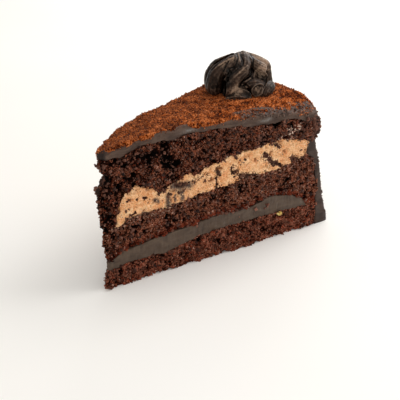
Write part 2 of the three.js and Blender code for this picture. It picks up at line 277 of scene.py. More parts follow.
def near(spot: Array, marks: Table) -> Array:
    """Finds how close points on the front cut are to marks.

    Args:
        spot: the points.
        marks: strokes, each the x and z of its two ends and its half width.

    Returns:
        1 on a stroke, fading to 0 off it.
    """
    bent = spot[..., (0, 2)] + 0.5 * FINE_NOISE.swells(spot, 1.3, (2, 7))
    total = np.zeros(spot.shape[:-1])
    for *ends, wide in marks:
        gap = off_line(bent, np.array(ends[:2]), np.array(ends[2:]) + TINY)
        total = np.maximum(total, np.exp(-(gap / wide) ** 3))
    return total * (spot[..., 1] < FRONT_DEPTH)


@dataclass(frozen=True)
class Crumble:
    """Relief of packed lumps, soft swells and torn pores.

    A row of lumps is size, shift, height and the distance that counts as level; a row of swells
    is size and height; a row of pores is size, shift, rarity and depth.
    """

    lumps: Table
    swells: Table
    pores: Table

    def rise(self, spot: Array, bent: Array) -> Array:
        """Adds the relief up.

        Args:
            spot: points in millimetres, which the swells are read at.
            bent: the same points, or warped ones, which lumps and pores are read at.

        Returns:
            How far each point stands out.
        """
        total = np.zeros(spot.shape[:-1])
        for size, shift, height, level in self.lumps:
            total += height * (level - FINE_NOISE.lumps(bent + shift, size))
        for size, height in self.swells:
            total += height * FINE_NOISE.swell(spot, size)
        for size, shift, least, deep in self.pores:
            total -= torn(bent + shift, size, least, deep)
        return total


# ---- Form of the slice ----
@dataclass(frozen=True)
class CakeForm:
    """The named sizes that the solids are built from, and the profiles they give.

    Along the front cut the upper seam, the top of the mousse and the lower edge of the icing
    follow the slice more closely here, up to about 2.6 mm off the solids.
    """

    cake_radius: float = 138.0
    tip_radius_front: float = 26.7
    wedge: float = math.radians(24.5)
    rear_width: float = 40.0
    icing_thickness: float = 3.4
    shoulder: float = 4.0
    shoulder_turn: float = 0.94
    shoulder_drop: float = 0.8
    droop_reach: float = 15.0
    tip_slant: float = 19.6
    smear_reach: float = 2.5
    rear_smear: float = 0.8
    smear_fray: float = 0.5
    lower_seam: Table = (
        (0, 8.6), (11, 10.4), (29, 9.6), (46, 13), (64, 13.6), (89, 12.9), (112, 11.6),
    )
    fudge_top: Table = (
        (0, 12.8), (8, 16.8), (29, 18.7), (55, 20.6), (74, 20), (85, 22.4), (96, 20.6),
        (103, 16.6), (106, 13.2),
    )
    upper_seam: Table = (
        (0, 28.4), (7, 29.2), (10, 31.4), (13, 32.1), (18, 31.9), (30, 32.2), (46, 34), (61, 34.7),
        (67, 35.9), (72, 36.2), (77, 35.4), (84, 35.6), (96, 37), (105, 39), (112, 39.4),
    )
    mousse_top: Table = (
        (4.4, 31), (5.2, 36.4), (7, 39.6), (8, 42), (9.6, 43.8), (11.5, 45.1), (14.2, 46.2),
        (17, 45.5), (19.4, 44.3), (21.2, 44.2), (23, 42.6), (25.2, 40.7), (28.4, 40.2),
        (30.4, 41.8), (33.4, 42.2), (36, 43.6), (38.4, 45.6), (40.8, 46.1), (43.2, 43.9),
        (46, 43.6), (49, 46), (55, 47), (64, 48.8), (76, 49.5), (89, 50.4), (98, 48.8), (105, 46),
    )
    icing_line: Table = (
        (0, 65.4), (10, 67), (22, 68.2), (40, 68.6), (62, 68.6), (82, 68.2), (97, 67.4), (112, 66),
    )
    icing_smear: Table = (
        (0, 0), (2, 0.8), (5, 1.6), (8, 2.6), (11, 2), (14, 1), (17, 0.5), (21, 0.7), (28, 1),
        (34, 1.7), (38, 1.1), (44, 1), (52, 0.6), (57, 0.8), (62, 1.3), (68, 1.4), (72, 2),
        (77, 1.1), (85, 1.1), (89, 0), (92, -0.5), (98, -0.4), (105, 0.9), (112, 0),
    )
    front_droop: Table = (
        (0, 0), (38, 0), (50, 0.7), (63, 1.8), (78, 3.4), (90, 4.8), (100, 6), (112, 7),
    )
    rear_fall: Table = ((0, 1), (20, 2.4), (45, 4), (78, 3.6), (98, 1.2), (112, 0.5))
    rim_inside: Table = (
        (0, 112), (9, 112), (20, 111.4), (30, 110.2), (37, 108.2), (39.5, 104.9), (46, 104.6),
        (48.5, 107), (56, 108.4), (70, 108.4),
    )
    rim_outside: Table = (
        (0, 120.6), (3, 120.4), (7, 118.4), (13, 116.6), (20, 115.5), (33, 113.2), (40, 111.4),
        (45, 110.2), (49, 110.8), (54, 111.6), (59, 112.4), (64, 112.2), (70, 111.4),
    )
    tip_edge: Table = (
        (0, 0), (7, 0.8), (13, 1.6), (24, 2.2), (30, 2.5), (43, 1.3), (52, 1.8), (60, 0.6),
        (63, 0),
    )
    tip_bulge: Table = (
        (0, 1.8), (5, 0.8), (10, 0.8), (14, 0), (25, -1.2), (30, -2.8), (36, -3.4), (43, -3.6),
        (48, -2.6), (51, -0.2), (54, 1), (57, 0.8), (60, -0.4), (66, -0.2),
    )
    tip_round: Table = ((0, 0), (0.16, -1.5), (0.34, 0.8), (0.61, 6.1), (0.82, 12.4), (1, 19.6))

    @property
    def cut_length(self) -> float:
        """Length of the front cut."""
        return self.cake_radius - self.tip_radius_front

    def plan(self, radius: Array, across: Array) -> Array:
        """Plan points of a radius and a place across.

        Args:
            radius, across: arrays of one shape.

        Returns:
            x and y on the last axis.
        """
        angle = across * self.wedge
        x, y = radius * np.cos(angle) - self.tip_radius_front, radius * np.sin(angle)
        return np.stack([x, y], -1)

    def polar(self, plan: Array) -> tuple[Array, Array]:
        """The radius and the place across of plan points."""
        x, y = plan[..., 0] + self.tip_radius_front, plan[..., 1]
        return np.hypot(x, y), np.clip(np.arctan2(y, x) / self.wedge, 0, 1)

    def place(self, radius: Array, across: Array) -> Array:
        """How far along points lie, from 0 at the blunt tip to the cut's length at the rim."""
        tip, length = self.tip_radius_front + self.tip_slant * across, self.cut_length
        return length * (radius - tip) / (self.cake_radius - tip)

    def place_of(self, points: Array) -> Array:
        """How far along the slice points in millimetres lie."""
        return self.place(*self.polar(points[..., :2]))

    def fringe(self, radius: Array, across: Array) -> Array:
        """Strays like the edge of torn crumb.

        Args:
            radius: radius of each point.
            across: its place across.

        Returns:
            How far it strays, about -1 to 1.
        """
        plan = self.plan(radius, across)
        spot = np.concatenate([plan, np.zeros(plan.shape[:-1] + (1,))], -1)
        return 0.6 * FINE_NOISE.swell(spot, 2.1) + 0.5 * FINE_NOISE.swell(spot, 0.9)

    def dome(self, radius: Array, across: Array) -> Array:
        """Finds the height of the top before its edge is rounded.

        Args:
            radius: radius of each point.
            across: its place across.

        Returns:
            The height there.
        """
        place = self.place(radius, across)
        depth = radius * np.sin(across * self.wedge)
        droop = np.clip(1 - depth / self.droop_reach, 0, None) ** 2
        droop = along(self.front_droop, place) * droop
        return along(self.icing_line, place) - along(self.rear_fall, place) * across ** 2 - droop

    def icing_top(self, radius: Array, across: Array) -> Array:
        """Finds the height of the icing, rounded over the rim.

        Args:
            radius: radius of each point.
            across: its place across.

        Returns:
            The height there.
        """
        past = radius - self.cake_radius + self.shoulder
        past = np.clip(past, 0, self.shoulder * self.shoulder_turn)
        fall = self.shoulder - np.sqrt(self.shoulder ** 2 - past ** 2)
        return self.dome(radius, across) - self.shoulder_drop * fall

    def icing_underside(self, radius: Array, across: Array) -> Array:
        """Finds the height of the top sponge's upper face.

        It lies lower where the knife smeared icing over the cuts.

        Args:
            radius: radius of each point.
            across: its place across.

        Returns:
            The height there.
        """
        near_cut, far_cut = (
            np.clip(1 - radius * np.sin(a * self.wedge) / self.smear_reach, 0, 1)
            for a in (across, 1 - across)
        )
        smear = near_cut * along(self.icing_smear, self.place(radius, across))
        smear = smear + self.rear_smear * far_cut
        ragged = self.smear_fray * self.fringe(radius, across) * np.maximum(near_cut, far_cut)
        return self.dome(radius, across) - self.icing_thickness - smear - ragged

    def tip(self, across: Array, height: Array) -> Array:
        """Finds the radius of the blunt tip, which juts out and in with the height.

        Args:
            across: place across of each point.
            height: its height.

        Returns:
            The radius there.
        """
        edge = (1 - across) ** 2 * along(self.tip_edge, height)
        bulge = 4 * across * (1 - across) * along(self.tip_bulge, height)
        return self.tip_radius_front + along(self.tip_round, across) + edge + bulge


FORM = CakeForm()


@dataclass(frozen=True)
class Seam:
    """The face between two layers.

    Its profile is its height along the front cut, wander how far it strays towards the rear and
    ragged how far its crumb edge strays everywhere.
    """

    profile: Table
    wander: float
    ragged: float
    swell: float = 14.0
    fray: float = 1.6
    fray_share: float = 0.9

    def __call__(self, radius: Array, across: Array) -> Array:
        """Finds the seam's height.

        Args:
            radius: radius of each point.
            across: its place across.

        Returns:
            The height there.
        """
        place = FORM.place(radius, across)
        drift = np.stack([place, FORM.rear_width * across, np.full_like(place, 9.0)], -1)
        stray = self.wander * across * SOLID_NOISE.swell(drift, self.swell)
        place = place + self.fray_share * self.ragged * FINE_NOISE.swell(drift + 7, self.fray)
        return along(self.profile, place) + stray + self.ragged * FORM.fringe(radius, across)


@dataclass(frozen=True)
class Seams:
    """The faces that the layers share, each a height over radius and across."""

    lower: Seam = Seam(FORM.lower_seam, 1.2, 0.45)
    fudge_top: Seam = Seam(FORM.fudge_top, 1.2, 0.4)
    upper: Seam = Seam(FORM.upper_seam, 1.4, 0.6)
    mousse_top: Seam = Seam(FORM.mousse_top, 1.4, 0.75)
    underside: Seam = Seam(((0, 0), (112, 0)), 0.0, 0.35)
    fudge_end: Span = (105.0, 106.4)
    mousse_start: Span = (3.4, 5.4)
    notch_at: float = 99.5
    notch_wide: float = 4.0
    notch_deep: float = 0.8
    notch_reach: float = 6.0
    nibble_reach: float = 2.5

    def over_fudge(self, radius: Array, across: Array) -> Array:
        """Height of the middle sponge's lower face, which drops past the end of the fudge."""
        past = step(FORM.place(radius, across), *self.fudge_end)
        return self.fudge_top(radius, across) * (1 - past) + self.lower(radius, across) * past

    def over_mousse(self, radius: Array, across: Array) -> Array:
        """Finds the top sponge's lower face, which drops before the mousse begins.

        Args:
            radius: radius of each point.
            across: its place across.

        Returns:
            The height there.
        """
        share = step(FORM.place(radius, across), *self.mousse_start)
        upper = self.upper(radius, across)
        return upper * (1 - share) + np.maximum(self.mousse_top(radius, across), upper) * share

    def base(self, radius: Array, across: Array) -> Array:
        """Finds the bottom sponge's underside, nibbled along the cuts.

        Args:
            radius: radius of each point.
            across: its place across.

        Returns:
            The height there.
        """
        spot = FORM.plan(radius, across)
        inwards = np.minimum(across, 1 - across) * FORM.wedge * radius
        notch = self.notch_deep * bell(spot[..., 0] - self.notch_at, self.notch_wide)
        edge = self.underside(radius, across) + notch * (spot[..., 1] < self.notch_reach)
        return np.clip(edge, 0, 2) * np.clip(1 - inwards / self.nibble_reach, 0, 1)


# ---- Making pieces ----
class Bench:
    """Turns shapes in slice millimetres into named pieces that ride on the slice."""

    @staticmethod
    def to_frame(points: Array) -> Array:
        """Slice millimetres to frame metres."""
        return (points - MIDDLE) * MM

    @staticmethod
    def spots(shape: Shape) -> Array:
        """Where a shape's points lie."""
        return np.array([v.co[:] for v in shape.verts])

    @staticmethod
    def move(shape: Shape, spots: Array) -> None:
        """Moves a shape's points."""
        for vert, spot in zip(shape.verts, spots):
            vert.co = spot

    @staticmethod
    def mark(shape: Shape, name: str, values: Array) -> None:
        """Stores a number on each of a shape's points.

        Args:
            shape: where the points are.
            name: what the finish calls the number.
            values: one for each point, held from 0 to 1.
        """
        layer = shape.verts.layers.float.new(name)
        for vert, value in zip(shape.verts, np.clip(values, 0, 1)):
            vert[layer] = float(value)

    @staticmethod
    def mesh(name: str, shape: Shape) -> bpy.types.Mesh:
        """Writes a shape to a mesh.

        Args:
            name: what the mesh is called.
            shape: what is written, and then freed.

        Returns:
            The mesh.
        """
        mesh = bpy.data.meshes.new(name)
        shape.to_mesh(mesh)
        shape.free()
        return mesh

    @staticmethod
    def link(name: str, data: bpy.types.ID) -> bpy.types.Object:
        """Makes an object and adds it to the scene.

        Args:
            name: what the object is called.
            data: its mesh, light or camera.

        Returns:
            The object.
        """
        holder = bpy.data.objects.new(name, data)
        bpy.context.scene.collection.objects.link(holder)
        return holder

    @staticmethod
    def grid(points: Array, marks: dict[str, Array]) -> Shape:
        """Moves a flat grid's points into place and merges those that meet.

        Args:
            points: rows by columns by 3, in slice millimetres.
            marks: named numbers for each point, rows by columns.

        Returns:
            A shape in frame metres.
        """
        rows, columns = points.shape[:2]
        shape = bmesh.new()
        bmesh.ops.create_grid(shape, x_segments=columns - 1, y_segments=rows - 1, size=1.0)
        Bench.move(shape, Bench.to_frame(points.reshape(-1, 3)))
        for name, values in marks.items():
            Bench.mark(shape, name, values.reshape(-1))
        loose = [v for v in shape.verts if v.is_boundary]
        bmesh.ops.remove_doubles(shape, verts=loose, dist=WELD * MM)
        return shape

    @staticmethod
    def join(whole: Shape, part: Shape) -> None:
        """Adds a shape to a whole one.

        Args:
            whole: what it becomes part of.
            part: what is added, and then freed.
        """
        mesh = Bench.mesh("part", part)
        whole.from_mesh(mesh)
        bpy.data.meshes.remove(mesh)

    @staticmethod
    def mark_hollows(shape: Shape, scales: Sequence[tuple[int, float]], stay: float = 0.2) -> None:
        """Stores how far each point lies below its smoothed surroundings, as the number hollow.

        Args:
            shape: the shape.
            scales: for each breadth of hollow, how many times a copy of the shape is smoothed and
                how far below it counts as 1, in the shape's units.
            stay: how much of its own place a point keeps each time.
        """
        shape.normal_update()
        start = Bench.spots(shape)
        out = np.array([v.normal[:] for v in shape.verts])
        ends = np.array([[v.index for v in e.verts] for e in shape.edges])
        links = np.bincount(ends.ravel(), minlength=len(start))[:, None]
        soft, done, sunk = start, 0, np.zeros(len(start))
        for rounds, depth in scales:
            for _ in range(rounds - done):
                total = [np.bincount(ends.ravel(), soft[ends[:, ::-1], axis].ravel(), len(start))
                         for axis in range(3)]
                soft = stay * soft + (1 - stay) * np.stack(total, -1) / links
            done = rounds
            sunk += ((soft - start) * out).sum(axis=1) / depth
        Bench.mark(shape, "hollow", 0.5 + 0.5 * sunk)

    @staticmethod
    def piece(name: str, shape: Shape, slot: str, material: bpy.types.Material,
              nodes: Sequence[str] = ()) -> bpy.types.Object:
        """Turns a shape's faces outwards, frees it and dresses its mesh, as dress does."""
        bmesh.ops.recalc_face_normals(shape, faces=shape.faces)
        return Bench.dress(name, Bench.mesh(name, shape), slot, material, nodes)

    @staticmethod
    def dress(name: str, mesh: bpy.types.Mesh, slot: str, material: bpy.types.Material,
              nodes: Sequence[str] = ()) -> bpy.types.Object:
        """Links a finished mesh as a piece, shades it smooth and gives it its finish.

        Args:
            name: the piece's name.
            mesh: its mesh in frame metres.
            slot: not used.
            material: its finish.
            nodes: solids that it stands for.

        Returns:
            The piece.
        """
        mesh.materials.append(material)
        mesh.shade_smooth()
        piece = Bench.link(name, mesh)
        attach(piece, "root")
        if nodes:
            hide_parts(*nodes)
        log.info("%s: %d triangles", name, sum(len(p.vertices) - 2 for p in mesh.polygons))
        return piece


# ---- Finishes ----
class Recipe:
    """Builds one node material a step at a time; its pattern coordinates are in millimetres."""

    def __init__(self, name: str) -> None:
        """Starts an empty material with coordinates on the piece.

        Args:
            name: what the material is called.
        """
        self.material = bpy.data.materials.new(name)
        self.material.use_nodes = True
        self.tree = self.material.node_tree
        self.tree.nodes.clear()
        own = self.add("ShaderNodeTexCoord", {}, "Object")
        self.spot = self.add("ShaderNodeMapping", {"Vector": own, "Scale": (1 / MM,) * 3})

    def add(self, kind: str, values: dict, output: str | int = 0, **settings: str) -> Socket:
        """Adds a node.

        Args:
            kind: the node's type.
            values: input name or index to a number, a colour's digits or another node's output.
            output: which output to hand back.
            **settings: properties of the node.

        Returns:
            The output.
        """
        node = self.tree.nodes.new(kind)
        for key, value in settings.items():
            setattr(node, key, value)
        for key, value in values.items():
            if isinstance(value, Socket):
                self.tree.links.new(value, node.inputs[key])
            else:
                node.inputs[key].default_value = shade(value) if isinstance(value, str) else value
        return node.outputs[output]

    def mottle(self, size: float, detail: float = 3.0, rough: float = 0.6, warp: float = 0.0,
               stretch: Triple = (1, 1, 1)) -> Socket:
        """Adds cloudy noise.

        Args:
            size: how wide its clouds are in millimetres.
            detail: how many finer noises it has.
            rough: how strong those are.
            warp: how far it is twisted.
            stretch: how far it is drawn out along each axis.

        Returns:
            The noise, 0 to 1.
        """
        scale = tuple(1 / s for s in stretch)
        at = self.add("ShaderNodeMapping", {"Vector": self.spot, "Scale": scale})
        return self.add("ShaderNodeTexNoise", {
            "Vector": at, "Scale": 1 / size, "Detail": detail, "Roughness": rough,
            "Distortion": warp,
        })

    def cloud(self, size: float, to: Span = (0.0, 1.0), at: Span = (0.3, 0.7),
              detail: float = 3.0, **noise: object) -> Socket:
        """Cloudy noise, as mottle makes it, eased to a range."""
        return self.between(self.mottle(size, detail, **noise), at, to)

    def grains(self, size: float, output: str = "Distance") -> Socket:
        """Cells of a size: the distance to each one's middle, or its colour."""
        return self.add("ShaderNodeTexVoronoi", {"Vector": self.spot, "Scale": 1 / size}, output)

    def mark(self, name: str) -> Socket:
        """A number stored on the piece's points."""
        return self.add("ShaderNodeAttribute", {}, "Fac", attribute_name=name)

    def plus(self, first: Value, second: Value) -> Socket:
        """Two numbers added."""
        return self.add("ShaderNodeMath", {0: first, 1: second}, operation="ADD")

    def times(self, first: Value, second: Value) -> Socket:
        """Two numbers multiplied."""
        return self.add("ShaderNodeMath", {0: first, 1: second}, operation="MULTIPLY")

    def least(self, first: Value, second: Value) -> Socket:
        """The smaller of two numbers."""
        return self.add("ShaderNodeMath", {0: first, 1: second}, operation="MINIMUM")

    def between(self, value: Value, at: Span, to: Span = (0.0, 1.0)) -> Socket:
        """Eases a number from one range to another.

        Args:
            value: the number.
            at: what gives the two ends of the new range.
            to: that range.

        Returns:
            A number in that range.
        """
        return self.add("ShaderNodeMapRange", {
            "Value": value, "From Min": at[0], "From Max": at[1], "To Min": to[0], "To Max": to[1],
        }, interpolation_type="SMOOTHSTEP")

    def ramp(self, amount: Socket, stops: Sequence[tuple[float, str]]) -> Socket:
        """Reads a colour off stops.

        Args:
            amount: where to read it, 0 to 1.
            stops: places and the digits of the colours there.

        Returns:
            The colour.
        """
        node = self.tree.nodes.new("ShaderNodeValToRGB")
        self.tree.links.new(amount, node.inputs[0])
        while len(node.color_ramp.elements) < len(stops):
            node.color_ramp.elements.new(0.5)
        for element, (place, code) in zip(node.color_ramp.elements, stops):
            element.position, element.color = place, shade(code)
        return node.outputs[0]

    def mix(self, share: Value, first: Tone, second: Tone) -> Socket:
        """The first colour with a share of the second."""
        return self.add("ShaderNodeMix", {0: share, 6: first, 7: second}, 2, data_type="RGBA")

    def relief(self, height: Socket, depth: float) -> Socket:
        """Fine relief.

        Args:
            height: from 0 to 1.
            depth: in millimetres.

        Returns:
            The socket of its normals.
        """
        return self.add("ShaderNodeBump", {
            "Height": height, "Distance": depth * MM, "Strength": 1.0,
        })

    def done(self, tone: Socket, rough: Value, specular: Value, more: dict) -> bpy.types.Material:
        """Ends in one shader.

        Args:
            tone: its colour.
            rough: its roughness.
            specular: how strongly it mirrors.
            more: its other inputs.

        Returns:
            The material.
        """
        shader = self.add("ShaderNodeBsdfPrincipled", {
            "Base Color": tone, "Roughness": rough, "Specular IOR Level": specular, **more,
        })
        surface = self.tree.nodes.new("ShaderNodeOutputMaterial").inputs["Surface"]
        self.tree.links.new(shader, surface)
        return self.material


@dataclass(frozen=True)
class Finish:
    """A finish that builds its own node material."""

    name: str

    def material(self) -> bpy.types.Material:
        """Builds the finish; each kind does it its own way."""
        raise NotImplementedError


@dataclass(frozen=True)
class CrumbFinish(Finish):
    """Moist chocolate crumb with red and pale flecks; painted shade in pores, painted highlight on
    crumbs.
    """

    pore_shade: str = "050100"
    body: str = "40180b"
    crest_highlight: str = "9c6048"
    red: str = "762c18"
    fleck: str = "c09a88"
    red_share: float = 0.14
    fleck_share: float = 0.045
    crumb: float = 0.6
    drift: float = 0.34
    roughness: Span = (0.6, 0.95)
    relief: float = 0.22
    specular: float = 0.05

    def material(self) -> bpy.types.Material:
        """Builds the finish."""
        r = Recipe(self.name)
        drift = r.cloud(0.5, (-self.drift, self.drift), (0.34, 0.66), 2.0, warp=0.8)
        hollow = r.plus(r.mark("hollow"), drift)
        # painted shade: near black in the pores; painted highlight: paler on the raised crumbs
        tone = r.ramp(hollow, ((0.04, self.crest_highlight), (0.34, self.body), (0.58, self.pore_shade)))
        crumbs = r.grains(self.crumb, "Color")
        rare, other = (r.add("ShaderNodeSeparateColor", {0: crumbs}, n) for n in (0, 1))
        warm = r.plus(r.between(rare, (1 - self.red_share, 1.0)), r.mark("warm"))
        warm = r.times(warm, r.between(hollow, (0.15, 0.75), (1.0, 0.15)))
        tone = r.mix(r.least(warm, 1.0), tone, self.red)
        pale = r.between(other, (1 - self.fleck_share, 1 - self.fleck_share / 3))
        pale = r.times(pale, r.between(hollow, (0.3, 0.5), (1.0, 0.0)))
        tone = r.mix(pale, tone, self.fleck)
        fine = r.plus(r.mottle(0.32, 4.0, 0.7), r.grains(0.5))
        return r.done(tone, r.cloud(1.3, self.roughness, (0.35, 0.7)), self.specular,
                      {"Normal": r.relief(fine, self.relief)})


@dataclass(frozen=True)
class MousseFinish(Finish):
    """Pale chocolate mousse: matte, full of pinhole bubbles, smeared and flecked with crumb."""

    name: str = "mousse_airy"
    body: str = "efa469"
    light: str = "ffcc98"
    pale: str = "ffe2be"
    # darker curd, and painted shade in the pits and pinhole bubbles
    curd_and_shade: str = "965c34"
    crumb: str = "46241a"
    smear: str = "5a4a42"
    curd: float = 0.6
    bubble: float = 0.95
    roughness: Span = (0.82, 0.62)
    relief: float = 0.2
    specular: float = 0.2
    glow_share: float = 0.1
    glow_reach: Triple = (1.0, 0.55, 0.3)
    glow_depth: float = 1.2

    def material(self) -> bpy.types.Material:
        """Builds the finish."""
        r = Recipe(self.name)
        cloud = r.cloud(3.2, detail=4.0)
        tone = r.mix(cloud, self.body, self.light)
        curd = r.mottle(self.curd, 3.0, 0.7, 0.5)
        tone = r.mix(r.between(curd, (0.48, 0.34), (0.0, 0.7)), tone, self.pale)
        tone = r.mix(r.between(curd, (0.52, 0.64), (0.0, 0.7)), tone, self.curd_and_shade)
        # painted shade in the pits
        tone = r.mix(r.between(r.mark("hollow"), (0.4, 1.0)), tone, self.curd_and_shade)
        # painted shade in the pinhole bubbles
        bubble = r.between(r.grains(self.bubble), (0.0, 0.26), (1.0, 0.0))
        tone = r.mix(r.times(bubble, 0.55), tone, self.curd_and_shade)
        smear = r.times(r.mark("smear"), r.cloud(0.9, (0.35, 1.0), (0.32, 0.5)))
        tone = r.mix(smear, tone, self.smear)
        dirt = r.plus(r.mark("dirt"), r.cloud(self.curd, (-0.3, 0.3)))
        tone = r.mix(r.between(dirt, (0.3, 0.55)), tone, self.crumb)
        fine = r.plus(curd, r.times(bubble, -1.0))
        return r.done(tone, r.between(cloud, (0.0, 1.0), self.roughness), self.specular, {
            "Normal": r.relief(fine, self.relief), "Subsurface Weight": self.glow_share,
            "Subsurface Radius": self.glow_reach, "Subsurface Scale": self.glow_depth * MM,
        })


@dataclass(frozen=True)
class FudgeFinish(Finish):
    """Smooth dark fudge with knife lines and a soft sheen."""

    name: str = "fudge_smooth"
    body: str = "473629"
    light: str = "5c4a3b"
    dark: str = "21150e"
    roughness: Span = (0.36, 0.58)
    relief: float = 0.08
    specular: float = 0.34

    def material(self) -> bpy.types.Material:
        """Builds the finish."""
        r = Recipe(self.name)
        cloud = r.cloud(5.0, detail=4.0, warp=0.4, stretch=(1.6, 1.0, 0.7))
        tone = r.mix(cloud, self.body, self.light)
        lines = r.mottle(0.7, 4.0, stretch=(0.6, 0.6, 4.0))
        tone = r.mix(r.between(lines, (0.55, 0.8), (0.0, 0.5)), tone, self.dark)
        # painted shade in the grooves of the knife lines
        tone = r.mix(r.between(r.mark("hollow"), (0.3, 0.9)), tone, self.dark)
        fine = r.plus(lines, r.mottle(0.5))
        return r.done(tone, r.cloud(1.8, self.roughness), self.specular,
                      {"Normal": r.relief(fine, self.relief)})


@dataclass(frozen=True)
class IcingFinish(Finish):
    """Smeared dark icing under dry cocoa that fades to specks at its edge, with painted sheen and
    shade.
    """

    name: str = "icing_dusted"
    body: str = "3e2c23"
    light: str = "604b3e"
    dark: str = "1c0f09"
    # colour of the painted sheen on the bare icing
    painted_sheen: str = "7e7974"
    cocoa: str = "a64c16"
    cocoa_light: str = "d07e4a"
    cocoa_dark: str = "340e00"
    roughness: Span = (0.5, 0.97)
    relief: float = 0.3
    specular: Span = (0.26, 0.08)

    def material(self) -> bpy.types.Material:
        """Builds the finish."""
        r = Recipe(self.name)
        cloud = r.cloud(4.0, at=(0.3, 0.72), detail=4.0, rough=0.65, warp=0.6,
                        stretch=(2.2, 1.0, 1.0))
        bare = r.mix(cloud, self.body, self.light)
        bare = r.mix(r.cloud(1.1, (0.0, 0.7), (0.55, 0.75), 4.0), bare, self.dark)
        # painted sheen: paler spots on the bare icing where light glances off it
        painted_sheen = r.times(r.mark("painted_sheen"), r.cloud(0.8, (0.2, 1.0), (0.35, 0.6), 4.0))
        bare = r.mix(painted_sheen, bare, self.painted_sheen)
        # painted shade down the coat's side and on the blunt tip's face
        bare = r.mix(r.mark("painted_shade"), bare, self.dark)
        # the hollow mark paints the cocoa darker in its dips and paler on its lumps: painted shade
        # and highlight
        hollow = r.between(r.mark("hollow"), (0.0, 1.0), (-0.14, 0.2))
        powder = r.ramp(r.plus(r.mottle(0.6, 2.0, 0.7, 0.5), hollow),
                        ((0.34, self.cocoa_light), (0.48, self.cocoa), (0.6, self.cocoa_dark)))
        cover = r.plus(r.mark("cocoa"), r.cloud(0.7, (-0.3, 0.3), detail=2.0))
        cover = r.between(cover, (0.35, 0.62))
        rough = r.plus(r.between(cover, (0.0, 1.0), self.roughness), r.cloud(1.6, (-0.08, 0.1)))
        fine = r.plus(r.times(r.mottle(0.42, 4.0, 0.7), cover), r.times(cloud, 0.35))
        specular = r.between(cover, (0.0, 1.0), self.specular)
        return r.done(r.mix(cover, bare, powder), rough, specular,
                      {"Normal": r.relief(fine, self.relief)})


@dataclass(frozen=True)
class CreamFinish(Finish):
    """Nearly black piped chocolate cream with a satin sheen, painted shade in its creases and
    painted highlights.
    """

    name: str = "rosette_cream"
    body: str = "1c110b"
    light: str = "38261c"
    # the crease colour is painted shade, the crest and pale colours painted highlight; the sheen
    # tints the real specular
    crease: str = "030100"
    crest_highlight: str = "8a7463"
    pale: str = "a88b73"
    sheen: str = "f4e2d4"
    roughness: Span = (0.28, 0.48)
    relief: float = 0.09
    specular: float = 0.2

    def material(self) -> bpy.types.Material:
        """Builds the finish."""
        r = Recipe(self.name)
        tone = r.mix(r.cloud(2.4, detail=4.0), self.body, self.light)
        # painted shade in the creases and painted highlight on the crests, by the hollow mark
        tone = r.mix(r.between(r.mark("hollow"), (0.46, 0.7)), tone, self.crease)
        tone = r.mix(r.between(r.mark("hollow"), (0.42, 0.12), (0.0, 0.45)), tone, self.crest_highlight)
        # painted highlight where the mark is above 0.5, painted shade where it is below
        painted_light = r.plus(r.mark("painted_light"), r.cloud(1.1, (-0.18, 0.18), detail=4.0))
        tone = r.mix(r.between(painted_light, (0.54, 1.0), (0.0, 0.72)), tone, self.pale)
        tone = r.mix(r.between(painted_light, (0.45, 0.2), (0.0, 0.95)), tone, self.crease)
        return r.done(tone, r.cloud(0.9, self.roughness, detail=4.0), self.specular, {
            "Normal": r.relief(r.mottle(0.5, 4.0), self.relief), "Specular Tint": self.sheen,
        })


@dataclass(frozen=True)
class GrainFinish(Finish):
    """Loose bits, each of its own tone."""

    dark: str
    light: str
    size: float = 0.5
    roughness: Span = (0.7, 0.95)
    relief: float = 0.1
    specular: float = 0.3

    def material(self) -> bpy.types.Material:
        """Builds the finish."""
        r = Recipe(self.name)
        tone = r.mix(r.mark("tone"), self.dark, self.light)
        tone = r.mix(r.cloud(self.size, (0.0, 0.6), (0.4, 0.75)), tone, self.dark)
        return r.done(tone, r.cloud(self.size * 2, self.roughness), self.specular,
                      {"Normal": r.relief(r.mottle(self.size * 0.6), self.relief)})


@dataclass(frozen=True)
class FloorFinish(Finish):
    """Plain pale floor, very faintly clouded."""

    name: str = "floor_pale"
    body: str = "fbf7f0"
    light: str = "fdfaf5"
    cloud: float = 400.0
    roughness: float = 0.7
    specular: float = 0.2

    def material(self) -> bpy.types.Material:
        """Builds the finish."""
        r = Recipe(self.name)
        tone = r.mix(r.cloud(self.cloud), self.body, self.light)
        return r.done(tone, self.roughness, self.specular, {})


# ---- Layers ----
class Part(IntEnum):
    """Stretches of a layer's outline, in the order that it is walked."""

    FRONT = 0
    RIM = 1
    REAR = 2
    TIP = 3


